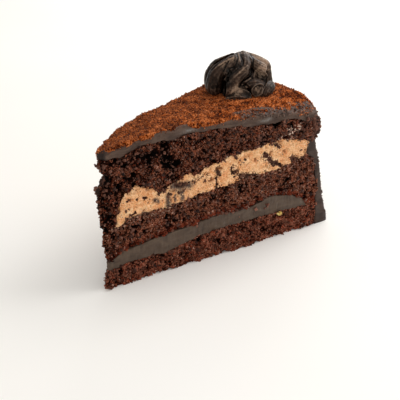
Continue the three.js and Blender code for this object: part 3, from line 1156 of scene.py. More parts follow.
@dataclass
class Layer:
    """A layer of the slice: walls on the cuts and the tip, closed by hidden caps.

    It starts a little past the tip and runs into the icing; fine and fine_tip space its columns
    over the walked length of a cut and the width of the tip, and insets place the caps' rings.
    """

    name: str
    slot: str
    finish: Finish
    bottom: Height
    top: Height
    rows: int
    node: str
    start: float = 0.0
    into_icing: float = 0.8
    crag: float = 1.9
    tip_crag: float = 0.8
    fine: float = 0.31
    fine_tip: float = 0.34
    walked: float = 111.0
    tip_width: float = 22.0
    rim_columns: int = 16
    insets: tuple[float, ...] = (0.3, 0.8, 1.8)
    inset_most: float = 0.4
    inner_ring: float = 0.45
    spine: Span = (0.07, 0.95)
    points: Array = later()
    out: Array = later()
    edge: Array = later()
    wall: Array = later()
    part: Array = later()
    inset: Array = later()
    marks: dict[str, Array] = later()

    def outline(self) -> tuple[Array, Array, Array]:
        """Walks the outline anticlockwise.

        Returns:
            Place lengthwise from 0 at the tip to 1 at the rim, place across, and the stretch.
        """
        n, t = round(self.walked / self.fine), round(self.tip_width / self.fine_tip)
        runs = (
            (np.linspace(0, 1, n, False), np.zeros(n), Part.FRONT),
            (np.ones(self.rim_columns), np.linspace(0, 1, self.rim_columns, False), Part.RIM),
            (np.linspace(1, 0, n, False), np.ones(n), Part.REAR),
            (np.zeros(t), np.linspace(1, 0, t, False), Part.TIP),
        )
        length, across = (np.concatenate([run[i] for run in runs]) for i in (0, 1))
        part = np.concatenate([np.full(len(run[0]), int(run[2])) for run in runs])
        return tuple(np.append(v, v[0]) for v in (length, across, part))

    def shape(self) -> None:
        """Works out the points of the walls and caps, before fine relief."""
        length, across, self.part = self.outline()
        inner = len(self.insets) + 2
        up = np.concatenate([np.zeros(inner), np.linspace(0, 1, self.rows), np.ones(inner)])
        depth = [np.arange(inner, 0, -1), np.zeros(self.rows), np.arange(1, inner + 1)]
        up, depth = (v[:, None] * np.ones_like(length) for v in (up, np.concatenate(depth)))
        length, across = (v[None, :] * np.ones_like(up) for v in (length, across))
        plan = self.capped(self.cragged(length, across, up), length, up, depth)
        radius, across = FORM.polar(plan)
        self.points = np.concatenate([plan, self.heights(radius, across, up)[..., None]], -1)
        self.out = facing(self.points)
        self.edge = np.where(depth <= 1, 1.0, np.where(depth == 2, 0.5, 0.0))
        self.wall = depth == 0
        thick = self.top(radius, across) - self.bottom(radius, across)
        self.inset = np.minimum(up, 1 - up) * thick

    def cragged(self, length: Array, across: Array, up: Array) -> Array:
        """Moves the outline in and out with the solids' crags.

        Args:
            length: place lengthwise, rows by columns.
            across: place across.
            up: share of the way up.

        Returns:
            Plan points.
        """
        radius = self.settle(length, across, up)
        height = self.heights(radius, across, up)
        spot = np.concatenate([FORM.plan(radius, across), height[..., None]], -1)
        rough = self.crag * SOLID_NOISE.crags(spot)
        side = 1.0 * (self.part == Part.REAR) - (self.part == Part.FRONT)
        tip = (0.0 if self.start else self.tip_crag) * (self.part == Part.TIP)
        turn = across * FORM.wedge
        return spot[..., :2] + np.stack([
            -tip * rough * np.cos(turn) - side * rough * np.sin(turn),
            -tip * rough * np.sin(turn) + side * rough * np.cos(turn),
        ], -1)

    def capped(self, plan: Array, length: Array, up: Array, depth: Array) -> Array:
        """Draws the rings of the caps in towards the layer's spine.

        Args:
            plan: plan points of the outline, rows by columns by 2.
            length: place lengthwise.
            up: share of the way up.
            depth: how many rings in from the walls.

        Returns:
            Plan points.
        """
        half = np.full_like(up, 0.5)
        middle = FORM.plan(self.settle(np.clip(length, *self.spine), half, up), half)
        span = np.linalg.norm(middle - plan, axis=-1)
        steps = np.array([0.0, *self.insets, 0.0, 0.0])[depth.astype(int)]
        last = len(self.insets) + 1
        share = np.minimum(steps / span, self.inset_most)
        share = np.where(depth == last, self.inner_ring, np.where(depth > last, 1.0, share))
        return plan + (middle - plan) * share[..., None]

    def reach(self, height: Array) -> Array:
        """How far from the front of the tip the layer ends, at some heights."""
        return along(FORM.rim_inside, height) + self.into_icing

    def settle(self, length: Array, across: Array, up: Array) -> Array:
        """Finds each point's radius along with its height, since tip and rim lean with the height.

        Args:
            length: place lengthwise.
            across: place across.
            up: share of the way up.

        Returns:
            The radius of each point.
        """
        height = np.zeros_like(length)
        for _ in range(4):
            nearest = FORM.tip(across, height) + self.start
            furthest = FORM.tip_radius_front + self.reach(height)
            radius = nearest + (furthest - nearest) * length
            height = self.heights(radius, across, up)
        return radius

    def heights(self, radius: Array, across: Array, up: Array) -> Array:
        """Height at a share of the way up from the bottom seam to the top one."""
        low, high = self.bottom(radius, across), self.top(radius, across)
        return low + (high - low) * up

    def on(self, *parts: Part) -> Array:
        """Which points lie on the walls of some stretches."""
        return self.wall & np.isin(self.part, parts)[None, :]

    def roughen(self) -> None:
        """Adds fine relief and marks; each kind of layer does it its own way."""
        raise NotImplementedError

    def relieve(self, rise: Array) -> None:
        """Raises the walls, and the caps less and less inwards, by a fine relief."""
        self.points = self.points + self.out * (rise * self.edge)[..., None]

    def make(self) -> bpy.types.Object:
        """Builds and dresses the layer.

        Returns:
            The piece.
        """
        self.shape()
        self.roughen()
        self.points[..., 2] = np.maximum(self.points[..., 2], 0.0)
        self.points[:, -1] = self.points[:, 0]
        shape = Bench.grid(self.points, self.marks)
        return Bench.piece(self.name, shape, self.slot, self.finish.material(), [self.node])


@dataclass
class Sponge(Layer):
    """A sponge layer, torn into crumbs and pores where the knife went.

    A row of tears is x, z, half width, half height and depth; each tear is also given painted
    shade.
    """

    crumble: Crumble = Crumble(
        lumps=((4.6, 0, 0.8, 0.52), (2.2, 17, 0.8, 0.5), (0.9, 31, 1.0, 0.46)),
        swells=((0.65, 0.5),),
        pores=((2.7, 0, 0.4, 3.4), (1.5, 40, 0.45, 2.2)),
    )
    warp: float = 0.7
    warp_size: float = 1.7
    deepest: float = -3.2
    highest: float = 0.9
    tears: Table = ()
    # how much painted shade a tear adds for each millimetre of its depth
    tear_shade: float = 0.08
    tear_fade: Span = (12.0, 7.0)
    # painted shade by place along the slice: darker towards the blunt tip, whose face turns away
    # from the light; below 0 lighter
    painted_shade: Table = ((0, 0), (1, 0))
    red: float = 0.0
    red_foot: float = 0.0
    red_seam: float = 0.0
    foot_reach: float = 4.0

    def roughen(self) -> None:
        """Packs the walls with crumbs and sinks pores into them."""
        spot = self.points
        bent = spot + self.warp * FINE_NOISE.swells(spot, self.warp_size, (3, 5, 8))
        rise = self.crumble.rise(spot, bent)
        # painted shade by place, and more in each tear below
        painted_shade = along(self.painted_shade, FORM.place_of(spot))
        behind, ahead = self.tear_fade
        for x, z, wide, high, deep in self.tears:
            gap = ((bent[..., 0] - x) / wide) ** 2 + ((bent[..., 2] - z) / high) ** 2
            tear = deep * np.exp(-gap ** 1.5) * step(-spot[..., 1], -behind, -ahead)
            rise, painted_shade = rise - tear, painted_shade + self.tear_shade * tear
        rise = np.clip(rise, self.deepest, self.highest)
        self.relieve(rise)
        # hollow: the finish paints shade in pores and tears and highlight on raised crumbs
        self.marks = {"hollow": 0.3 - 0.42 * rise + painted_shade, "warm": self.warmth()}

    def warmth(self) -> Array:
        """Finds how red the crumb is, more so at the plate or above the fudge.

        Returns:
            The redness at each point.
        """
        height = self.points[..., 2]
        foot = self.red_foot * step(self.foot_reach - height, 0, self.foot_reach)
        over = height - along(FORM.fudge_top, FORM.place_of(self.points))
        return self.red + foot + self.red_seam * bell(over - 1.2, 1.6)


@dataclass
class Mousse(Layer):
    """The mousse filling: soft, pinholed and dragged along by the knife.

    Smears, dirt and stains are strokes on the front cut, as near takes them.
    """

    crumble: Crumble = Crumble(
        lumps=((2.6, 0, 0.45, 0.5), (1.1, 6, 0.3, 0.5)),
        swells=((1.3, 0.3), (0.65, 0.25)),
        pores=((2.9, 0, 0.5, 2.0), (1.2, 60, 0.6, 1.8)),
    )
    stain_share: float = 0.42
    dirt_depth: float = 0.5
    smears: Table = (
        (32.6, 41.2, 40.6, 39.8, 2.3), (29.8, 37.6, 29.7, 33.4, 1.5),
        (36.8, 37.6, 36.8, 34.4, 1.3), (23.0, 37.6, 24.6, 36.4, 1.0), (33.4, 37, 33.4, 34.4, 0.7),
        (10.5, 31.4, 19, 31.9, 1.1),
    )
    dirt: Table = (
        (34, 41.6, 39.6, 40.6, 0.9), (11, 33, 13.8, 33.9, 0.5), (14.6, 39.9, 14.9, 39.9, 0.6),
        (10.2, 40.1, 11.4, 40.2, 0.4), (18, 39.6, 19.4, 39.7, 0.5), (19.7, 37, 19.8, 37, 0.4),
        (7.2, 33.3, 7.3, 33.3, 0.4), (55.3, 42, 55.5, 41.7, 1.2), (54.8, 40, 54.6, 35.4, 0.5),
        (64.3, 40.2, 64.5, 39.9, 1.2), (67.5, 37.4, 75.5, 35.4, 1.3),
        (80.2, 45.5, 81.6, 44.2, 1.0), (82.9, 42.4, 85, 40, 1.3), (84, 40.4, 90, 37.4, 0.8),
        (97, 38.6, 98.6, 37.9, 1.4), (86.6, 48.6, 88.2, 47, 0.9), (48.3, 39.4, 48.4, 39.4, 0.5),
        (64.8, 47.2, 65.4, 46.6, 0.6), (24.6, 42, 26.4, 40.4, 0.8), (54, 45, 56.3, 45.3, 0.35),
        (62.2, 41.6, 62.8, 43.2, 0.35),
    )
    stains: Table = (
        (54.6, 43.6, 55.6, 41, 2.2), (63.4, 42.4, 65, 40.2, 2.4), (66, 38.6, 76, 36.4, 1.7),
        (80, 44.6, 86, 39.4, 2.2), (96, 40, 100, 39, 1.6), (23.6, 42.6, 28, 40.4, 1.4),
        (43, 41.6, 50, 42.6, 1.5), (86, 49, 89, 47, 1.6),
    )

    def roughen(self) -> None:
        """Gives the walls a soft torn surface and marks the smears, dirt and stains."""
        spot = self.points
        rise = self.crumble.rise(spot, spot)
        dirt = np.maximum(near(spot, self.dirt), self.stain_share * near(spot, self.stains))
        self.relieve(rise - self.dirt_depth * dirt)
        self.marks = {"hollow": 0.14 - 0.75 * rise, "smear": near(spot, self.smears), "dirt": dirt}


@dataclass
class Fudge(Layer):
    """The fudge filling: smooth, with faint lines where the knife dragged."""

    end: float = 106.0
    line: float = 1.4
    line_stretch: Triple = (1.6, 1.6, 0.35)
    sink: float = 0.15

    def reach(self, height: Array) -> Array:
        """The fudge ends short of the rim, at every height alike."""
        return np.full_like(height, self.end)

    def roughen(self) -> None:
        """Adds knife lines and a soft swell."""
        spot = self.points
        lines = FINE_NOISE.swell(spot * self.line_stretch, self.line)
        rise = 0.12 * lines + 0.18 * FINE_NOISE.swell(spot, 3.0)
        self.relieve(rise + 0.05 * FINE_NOISE.swell(spot, 0.7) - self.sink)
        self.marks = {"hollow": 0.2 - 0.4 * lines}


# ---- Icing ----
@dataclass
class Icing:
    """One coat over the top, round the rim and out into a foot, dusted with cocoa.

    A row of sheen spots is x, z, half width and half height of a paler spot of painted sheen on the
    front cut.
    """

    fine: float = 0.4
    top_length: float = 110.0
    side_height: float = 62.0
    corner: float = 1.4
    corner_drop: float = 1.2
    corner_rounds: int = 26
    edge_rounds: int = 14
    tip_height: float = 65.0
    clearance: float = 0.15
    across_count: int = 128
    face_rows: int = 9
    foot_rows: int = 5
    under_across: tuple[float, ...] = (0.95, 0.75, 0.5, 0.25, 0.05)
    cocoa_edge: Table = (
        (0, 1.5), (2.7, -1.6), (7, -1.7), (8.8, -1.4), (11.5, -2.3), (15, -0.5), (18, -1.8),
        (22, -2.7), (24.3, -0.6), (28, -0.8), (32.3, -1.2), (35.9, 1), (39.4, 1.2), (41, -1),
        (44, -3.4), (50, -3), (54, -2.3), (60, -1.8), (69, -1.9), (72, -0.5), (76, 0.5), (81, 1),
        (86, 1.7), (92, 1.6), (99, 1.8), (103, 3.6), (108, 6), (110, 5),
    )
    bare_streak: Table = ((62, 3.1), (67, 3.6), (71, 3.9), (75, 4.6), (80, 4.2), (87, 3.6))
    # painted sheen: paler spots on the bare icing where light glances off it
    sheen_spots: Table = ((40.8, 65.7, 3.6, 0.9), (80.5, 62.1, 3, 0.8))
    streak_half: float = 0.7
    finish: Finish = IcingFinish()
    points: Array = later()
    out: Array = later()
    cocoa: Array = later()

    def inner_radius(self, height: Array) -> Array:
        """Radius of the coat's inner side over the rim, just clear of the sponge."""
        return FORM.tip_radius_front + along(FORM.rim_inside, height) + self.clearance

    def paths(self, across: Array) -> tuple[Array, Array]:
        """Draws the outer and inner profiles, tip to foot, at places across.

        Args:
            across: places across the slice.

        Returns:
            Radius and height of the outer and of the inner profile, stations by places by 2.
        """
        top_count, side_count = (round(v / self.fine) for v in (self.top_length, self.side_height))
        along_top = np.linspace(0, 1, top_count)[:, None]
        down = np.linspace(0, 1, side_count + 1)[1:, None]
        tip = FORM.tip(across, np.full_like(across, self.tip_height))
        start = FORM.tip(across, FORM.dome(tip, across))
        radius = start + (FORM.cake_radius - self.corner - start) * along_top
        height = FORM.icing_top(radius, across)
        side_height = (height[-1] - self.corner_drop) * (1 - down)
        flat = np.zeros_like(side_height)
        swell = SOLID_NOISE.swell(np.stack([90 * across + flat, side_height, 3 + flat], -1), 9.0)
        side_radius = (FORM.tip_radius_front + along(FORM.rim_outside, side_height)
                       + 0.35 * swell * step(side_height, 0, 3))
        outer = np.stack([np.vstack([radius, side_radius]), np.vstack([height, side_height])], -1)
        even_out(outer, self.corner_rounds)
        inside = self.inner_radius(np.full_like(across, 60.0))
        under_radius = start + (inside - start) * along_top
        under = FORM.icing_underside(under_radius, across) + self.clearance
        inner_height = under[-1] * (1 - down)
        inner_radius = np.vstack([under_radius, self.inner_radius(inner_height)])
        return outer, np.stack([inner_radius, np.vstack([under, inner_height])], -1)

    def loops(self) -> Array:
        """Runs a ring round the coat at each station.

        Returns:
            Points, stations by ring by 3.
        """
        across = np.linspace(0, 1, self.across_count)
        outer, inner = self.paths(across)
        lift = np.linspace(0, 1, self.face_rows + 1)[:-1, None, None]
        outer = np.vstack([inner[:1] + (outer[:1] - inner[:1]) * lift, outer])
        inner = np.vstack([np.repeat(inner[:1], self.face_rows, axis=0), inner])
        foot = np.linspace(0, 1, self.foot_rows + 1)[1:, None, None]
        outer = np.vstack([outer, outer[-1:] + (inner[-1:] - outer[-1:]) * foot * 0.999])
        inner = np.vstack([inner, np.repeat(inner[-1:], self.foot_rows, axis=0)])
        deep = np.linspace(1, 0, self.face_rows + 1)[:-1]
        front = [outer[:, 0] + (inner[:, 0] - outer[:, 0]) * d for d in deep]
        rear = [outer[:, -1] + (inner[:, -1] - outer[:, -1]) * d for d in deep[::-1]]
        under = [inner[:, round(a * (self.across_count - 1))] for a in self.under_across]
        ring = np.stack([*front, *np.moveaxis(outer, 1, 0), *rear, *under, front[0]], 1)
        side = np.concatenate(
            [np.zeros(len(front)), across, np.ones(len(rear)), self.under_across, [0.0]])
        plan = FORM.plan(ring[..., 0], side[None, :] + 0 * ring[..., 0])
        return np.concatenate([plan, ring[..., 1:]], -1)

    def soften(self, points: Array) -> None:
        """Rounds the two long edges where the knife left them.

        Args:
            points: the grid of the coat, which changes.
        """
        first, last = self.face_rows, self.face_rows + self.across_count - 1
        for edge in (slice(first - 5, first + 9), slice(last - 8, last + 6)):
            even_out(np.moveaxis(points[:, edge], 1, 0), self.edge_rounds)

    def cover(self, points: Array, place: Array, shelf: Array) -> Array:
        """Dusts cocoa over the top, thinner along its edge and where it is scraped.

        Args:
            points: points of the coat.
            place: how far along the slice they lie.
            shelf: how far below the dome of the top they lie.

        Returns:
            How thickly cocoa lies at each point, 0 to 1.
        """
        behind = points[..., 1]
        wander = 0.7 * FINE_NOISE.swell(points * (1, 1, 0), 5.0)
        wander = wander + 0.5 * FINE_NOISE.swell(points, 1.8)
        back = behind - np.clip(shelf, 0, 6) * 1.64 * (behind < 2) + wander
        over = back - along(self.cocoa_edge, place)
        dense = step(over / (1 + 0.9 * step(-place, -45, -25)), -1.2, 0.9)
        streak = along(self.bare_streak, place)
        scraped = bell(behind - streak, self.streak_half)
        scraped = scraped * step(place, 61, 66) * step(-place, -88, -82)
        patchy = 0.5 + 0.5 * FINE_NOISE.swell(points, 2.2)
        inner = streak + 2.2 * step(place, 84, 100) + 0.8
        thin = 0.8 * patchy * step(place, 56, 68) * step(inner - behind, 0, 1.4)
        dense = dense * (1 - 0.75 * scraped) * (1 - thin)
        sparse = 0.24 + 0.16 * step(place, 94, 100)
        sparse = sparse * step(over + 3 * step(place, 94, 102), -3.4, -1.2)
        round_rim = 1 - step(shelf - 0.5 * wander, 1.6, 4.2) * (behind >= 2)
        return np.maximum(dense, sparse) * round_rim

    def make(self) -> bpy.types.Object:
        """Builds and dresses the icing.

        Returns:
            The piece.
        """
        points = self.loops()
        self.soften(points)
        points[:, -1] = points[:, 0]
        place = FORM.place_of(points)
        shelf = FORM.dome(*FORM.polar(points[..., :2])) - points[..., 2]
        self.out, self.cocoa = -facing(points), self.cover(points, place, shelf)
        flat = points * (1, 1, 0)
        smear = SOLID_NOISE.swell(points * (0.45, 1.3, 1.0), 2.4)
        bare = 0.28 * smear + 0.16 * FINE_NOISE.swell(flat * (0.5, 1.4, 1), 1.5)
        big, small = FINE_NOISE.lumps(points, 1.3), FINE_NOISE.lumps(points + 9, 0.75)
        dust = 0.25 * SOLID_NOISE.swell(flat, 2.4) + 0.5 * (0.5 - big) + 0.36 * (0.5 - small) + 0.3
        rise = (bare * (1 - self.cocoa) + dust * self.cocoa) * step(points[..., 2], 0.1, 2.0)
        self.points = points + self.out * rise[..., None]
        self.points[..., 2] = np.maximum(self.points[..., 2], 0)
        self.points[:, -1] = self.points[:, 0]
        # painted shade: half strength down the coat's side below the top, nearly full on the blunt
        # tip's face; the hollow mark paints the cocoa darker in its dips
        tip = 0.9 * step(-place, -1.6, -0.4) * (points[..., 1] < 5)
        shape = Bench.grid(self.points, {
            "cocoa": self.cocoa, "hollow": 0.5 - 1.2 * (dust - 0.3),
            "painted_shade": np.maximum(0.5 * step(shelf, 7, 12), tip), "painted_sheen": self.painted_sheen_spots(points),
        })
        rims = [e for e in shape.edges if e.is_boundary]
        bmesh.ops.holes_fill(shape, edges=rims, sides=0)
        return Bench.piece("icing_coat", shape, "icing", self.finish.material(), ["icing"])

    def painted_sheen_spots(self, points: Array) -> Array:
        """Finds how far each point lies in a spot of painted sheen.

        Args:
            points: points of the coat.

        Returns:
            1 in the middle of a spot, fading to 0 off it.
        """
        total = np.zeros(points.shape[:-1])
        for x, z, wide, high in self.sheen_spots:
            off = ((points[..., 0] - x) / wide) ** 2 + ((points[..., 2] - z) / high) ** 2
            total = np.maximum(total, np.exp(-off) * (points[..., 1] < 2))
        return total


# ---- Rosette ----
@dataclass(frozen=True)
class Fold:
    """A fold of piped cream, drawn along a path of right, back, up and half width.

    A cup above 0 hollows its outer side, which then leaves a lip along both edges. Its outer side
    faces up, or the way that face points.
    """

    path: Table
    depth: float = 0.9
    cup: float = 0.0
    face: Triple | None = None
    ribs: int = 0
    rib: float = 0.0
    sides: int = 72
    rings: int = 110
    ahead: float = 0.002
    end_share: float = 0.9

    def draw(self) -> Shape:
        """Draws a ball out along the path, with rounded ends.

        Returns:
            The fold's own shape.
        """
        shape = bmesh.new()
        bmesh.ops.create_uvsphere(shape, u_segments=self.sides, v_segments=self.rings, radius=1.0)
        ball = Bench.spots(shape)
        t = (ball[:, 2] + 1) / 2
        here, ahead = self.at(t), self.at(t + self.ahead)
        centre, width = here[:, :3], here[:, 3]
        tangent = self.unit(ahead[:, :3] - centre)
        outward = centre + (0, 0, 3.0) if self.face is None else np.array([self.face])
        side = self.unit(np.cross(outward, tangent))
        upward = np.cross(tangent, side)
        steps = np.diff(self.at(np.linspace(0, 1, 60))[:, :3], axis=0)
        from_end = np.minimum(t, 1 - t) * np.linalg.norm(steps, axis=1).sum()
        full = np.clip(from_end / np.maximum(self.end_share * width, TINY), 0, 1)
        angle = np.arctan2(ball[:, 1], ball[:, 0])
        girth = width * np.sqrt(1 - (1 - full) ** 2) * (1 + self.rib * np.cos(angle * self.ribs))
        rise = self.depth * np.sin(angle) - self.cup * np.clip(np.sin(angle), 0, 1) ** 2
        around = side * (girth * np.cos(angle))[:, None] + upward * (girth * rise)[:, None]
        Bench.move(shape, centre + around)
        return shape

    def at(self, t: Array) -> Array:
        """Reads the path on a smooth curve through its points.

        Args:
            t: shares of the way along.

        Returns:
            Right, back, up and half width at each.
        """
        knots = np.array(self.path, float)
        knots = np.vstack([2 * knots[0] - knots[1], knots, 2 * knots[-1] - knots[-2]])
        place = np.clip(t, 0, 1 + self.ahead) * (len(self.path) - 1)
        i = np.clip(place.astype(int), 0, len(self.path) - 2)
        f = (place - i)[:, None]
        a, b, c, d = knots[i], knots[i + 1], knots[i + 2], knots[i + 3]
        return 0.5 * (2 * b + (c - a) * f + (2 * a - 5 * b + 4 * c - d) * f ** 2
                      + (3 * b - a - 3 * c + d) * f ** 3)

    @staticmethod
    def unit(vectors: Array) -> Array:
        """Vectors scaled to length 1."""
        return vectors / np.maximum(np.linalg.norm(vectors, axis=1, keepdims=True), 1e-9)


@dataclass(frozen=True)
class Scoop:
    """An ellipsoid pressed out of the cream."""

    middle: Triple
    reach: Triple

    def press(self, points: Array) -> Array:
        """Pushes the points that lie inside out to its skin.

        Args:
            points: one in each row.

        Returns:
            The points, moved.
        """
        off = (points - self.middle) / self.reach
        gap = np.linalg.norm(off, axis=1, keepdims=True)
        return np.where(gap < 1, self.middle + off / np.maximum(gap, 0.05) * self.reach, points)


@dataclass(frozen=True)
class Stroke:
    """A crease or a ridge of the rosette's front, through points of right and up as seen there.

    It presses the cream in by its depth, or out where that is below 0, and paints a highlight by
    tone, or shade where tone is below 0.
    """

    path: Table
    half: float
    depth: float
    tone: float


@dataclass
class Rosette:
    """Fat folds of piped cream that gather at one peak, with a scooped fold and a curl in front.

    Its folds are laid out facing the front of the slice's tip corner, then turned into place. A
    row of painted light is right, back and up, reach, and how much painted highlight (above 0) or
    painted shade (below 0) the cream gets there.
    """

    at: Span = (82.4, 25.6)
    facing: float = math.radians(31.33)
    tilt: float = math.radians(27.5)
    heart: Triple = (8.8, 7.6, 12.6)
    voxel: float = 0.243
    sunk: float = 1.4
    swells: Table = ((2.4, 0.16), (0.9, 0.09))
    hollows: tuple[tuple[int, float], ...] = ((6, 0.5), (24, 1.2), (120, 2.0))
    bit_seed: int = 7
    bit_size: Span = (0.45, 0.8)
    folds: tuple[Fold, ...] = (
        # the fat fold on the left, the lip above it and the folds that back them
        Fold(((-11.2, -4.4, -1.2, 3.6), (-11.4, -4.0, 3.0, 4.2), (-10.2, -2.8, 7.2, 4.4),
              (-7.4, -1.9, 10.8, 3.8), (-4.3, -0.9, 13.6, 2.6), (-1.5, 1.4, 15.4, 1.4)),
             ribs=13, rib=0.026),
        Fold(((-6.4, -7.4, 8.8, 1.5), (-5.0, -6.6, 10.6, 2.0), (-3.7, -5.2, 12.2, 2.2),
              (-2.6, -3.0, 14.0, 2.1), (-1.5, 0.2, 15.6, 1.5), (0.1, 3.6, 15.9, 1.1)),
             ribs=11, rib=0.042),
        Fold(((-13.2, -2.6, 7.4, 1.0), (-11.5, -1.0, 10.6, 1.8), (-7.9, 0.0, 13.4, 2.0),
              (-4.2, 1.2, 15.2, 1.6), (-1.1, 3.4, 15.9, 1.1)),
             depth=0.9, cup=1.5, face=(-0.35, -0.65, 0.65)),
        Fold(((-12.8, 2.0, -1.0, 2.8), (-13.2, 1.4, 4.0, 3.0), (-12.2, 2.6, 7.8, 3.0),
              (-9.1, 4.0, 10.6, 3.0), (-5.0, 4.6, 12.6, 2.3), (-1.1, 4.6, 15.0, 1.7)),
             ribs=12, rib=0.026),
        # the fold in the middle, its flared foot and the ribbed one beside its rope
        Fold(((-3.2, -9.6, -1.0, 3.0), (-3.8, -9.8, 2.6, 3.5), (-4.1, -9.2, 5.2, 3.7),
              (-3.0, -8.8, 7.4, 3.5), (-0.9, -8.2, 9.5, 3.2), (1.5, -7.0, 11.3, 2.8),
              (2.9, -5.2, 13.1, 2.4), (2.8, -1.8, 14.8, 2.2), (2.3, 2.2, 15.9, 1.8),
              (1.7, 4.6, 16.3, 1.1)), ribs=10, rib=0.038),
        Fold(((-6.2, -11.2, 0.8, 1.4), (-3.6, -12.2, 2.2, 2.1), (-0.2, -12.7, 2.8, 2.4),
              (3.0, -12.5, 2.1, 2.0), (5.4, -12.3, 0.6, 1.2)),
             depth=0.8, cup=0.8, face=(-0.1, -0.65, 0.75), ribs=9, rib=0.03),
        Fold(((-1.6, -7.2, 12.4, 1.2), (-0.7, -4.6, 14.6, 1.6), (0.0, -0.6, 16.0, 1.4),
              (0.9, 3.6, 16.2, 1.0)), ribs=7, rib=0.075),
        # the brow on the right, the cupped fold under it and its rim, the flap, sheet and curl
        Fold(((12.4, -2.2, 10.4, 2.0), (9.6, -3.3, 12.1, 2.6), (6.8, -2.7, 13.6, 2.3),
              (4.0, 0.2, 15.2, 1.6)), ribs=13, rib=0.05),
        Fold(((7.8, -4.6, 11.2, 1.6), (8.8, -5.2, 10.0, 2.9), (9.5, -6.0, 8.4, 3.4),
              (9.2, -7.0, 6.6, 3.1), (8.2, -8.2, 4.8, 2.4)),
             depth=1.0, cup=1.3, face=(0.25, -0.85, 0.45)),
        Fold(((9.2, -6.6, 10.9, 0.22), (11.0, -6.0, 10.6, 0.25), (12.5, -5.7, 9.2, 0.26),
              (13.0, -6.3, 7.4, 0.26), (12.4, -7.9, 5.4, 0.24), (10.8, -10.1, 3.3, 0.23),
              (8.4, -11.8, 1.2, 0.23)), depth=1.7),
        Fold(((1.0, -11.4, 6.1, 0.3), (2.4, -11.1, 7.3, 0.42), (4.0, -10.4, 8.2, 0.42),
              (5.2, -9.4, 8.7, 0.34)), depth=1.9),
        Fold(((2.4, -10.4, 5.6, 1.5), (5.2, -9.4, 6.0, 2.1), (8.7, -8.0, 5.6, 2.2),
              (11.8, -6.6, 4.6, 1.6)), depth=0.8, ribs=9, rib=0.058),
        Fold(((6.1, -12.2, 1.8, 0.23), (5.5, -12.0, 3.8, 0.25), (6.7, -11.3, 5.6, 0.26),
              (8.9, -10.2, 6.2, 0.26), (10.7, -9.4, 5.4, 0.26), (10.9, -9.7, 3.8, 0.24),
              (9.7, -10.9, 2.2, 0.24), (8.0, -11.8, 1.1, 0.24), (6.7, -12.2, 1.3, 0.23)),
             depth=1.6),
        Fold(((7.0, -11.0, 0.6, 1.8), (8.1, -10.8, 3.2, 2.7), (9.5, -9.6, 5.6, 2.2)),
             depth=0.9, cup=0.9, face=(0.1, -0.85, 0.5), ribs=9, rib=0.05),
        Fold(((10.2, -8.2, -1.0, 2.2), (11.8, -7.2, 1.8, 2.8), (14.0, -3.8, 2.4, 3.0),
              (14.8, -0.4, 1.4, 2.6)), ribs=14, rib=0.058),
        # the broad fold on the right, and those at the back
        Fold(((14.4, 0.8, -0.6, 2.6), (13.6, 1.4, 4.0, 2.5), (13.0, 2.6, 7.6, 2.6),
              (12.1, 3.2, 10.4, 2.9), (9.3, 3.7, 12.2, 2.7), (5.6, 4.2, 13.9, 2.2),
              (1.7, 4.4, 15.8, 1.3)), ribs=15, rib=0.05),
        Fold(((6.8, -2.0, 13.0, 1.7), (6.2, -0.6, 13.9, 1.9), (4.4, 1.6, 15.1, 1.5),
              (2.4, 3.4, 16.0, 1.0)), ribs=9, rib=0.058),
        Fold(((11.6, 8.6, -0.6, 3.6), (10.6, 9.4, 4.6, 4.1), (7.4, 8.6, 8.9, 3.3),
              (4.2, 6.8, 12.6, 2.3), (1.8, 4.6, 15.4, 1.4)), ribs=11, rib=0.033),
        Fold(((3.0, 13.2, -0.6, 3.4), (1.8, 12.6, 4.8, 4.1), (0.4, 10.4, 9.8, 3.3),
              (0.4, 7.4, 13.2, 2.3), (1.0, 4.8, 15.4, 1.4)), ribs=11, rib=0.033),
        Fold(((-7.0, 11.2, -0.6, 3.6), (-7.8, 10.4, 4.8, 4.1), (-6.6, 8.2, 9.0, 3.2),
              (-3.4, 6.4, 12.2, 2.3), (0.2, 4.6, 15.2, 1.4)), ribs=11, rib=0.033),
    )
    scoops: tuple[Scoop, ...] = (
        Scoop((4.2, -13.4, 0.4), (1.3, 1.7, 1.1)),
        Scoop((6.2, -7.0, 11.4), (1.5, 2.6, 1.4)),
        Scoop((-7.1, -12.2, 4.2), (1.2, 4.8, 4.6)),
        Scoop((-5.6, -11.6, 9.0), (1.2, 3.0, 1.6)),
    )
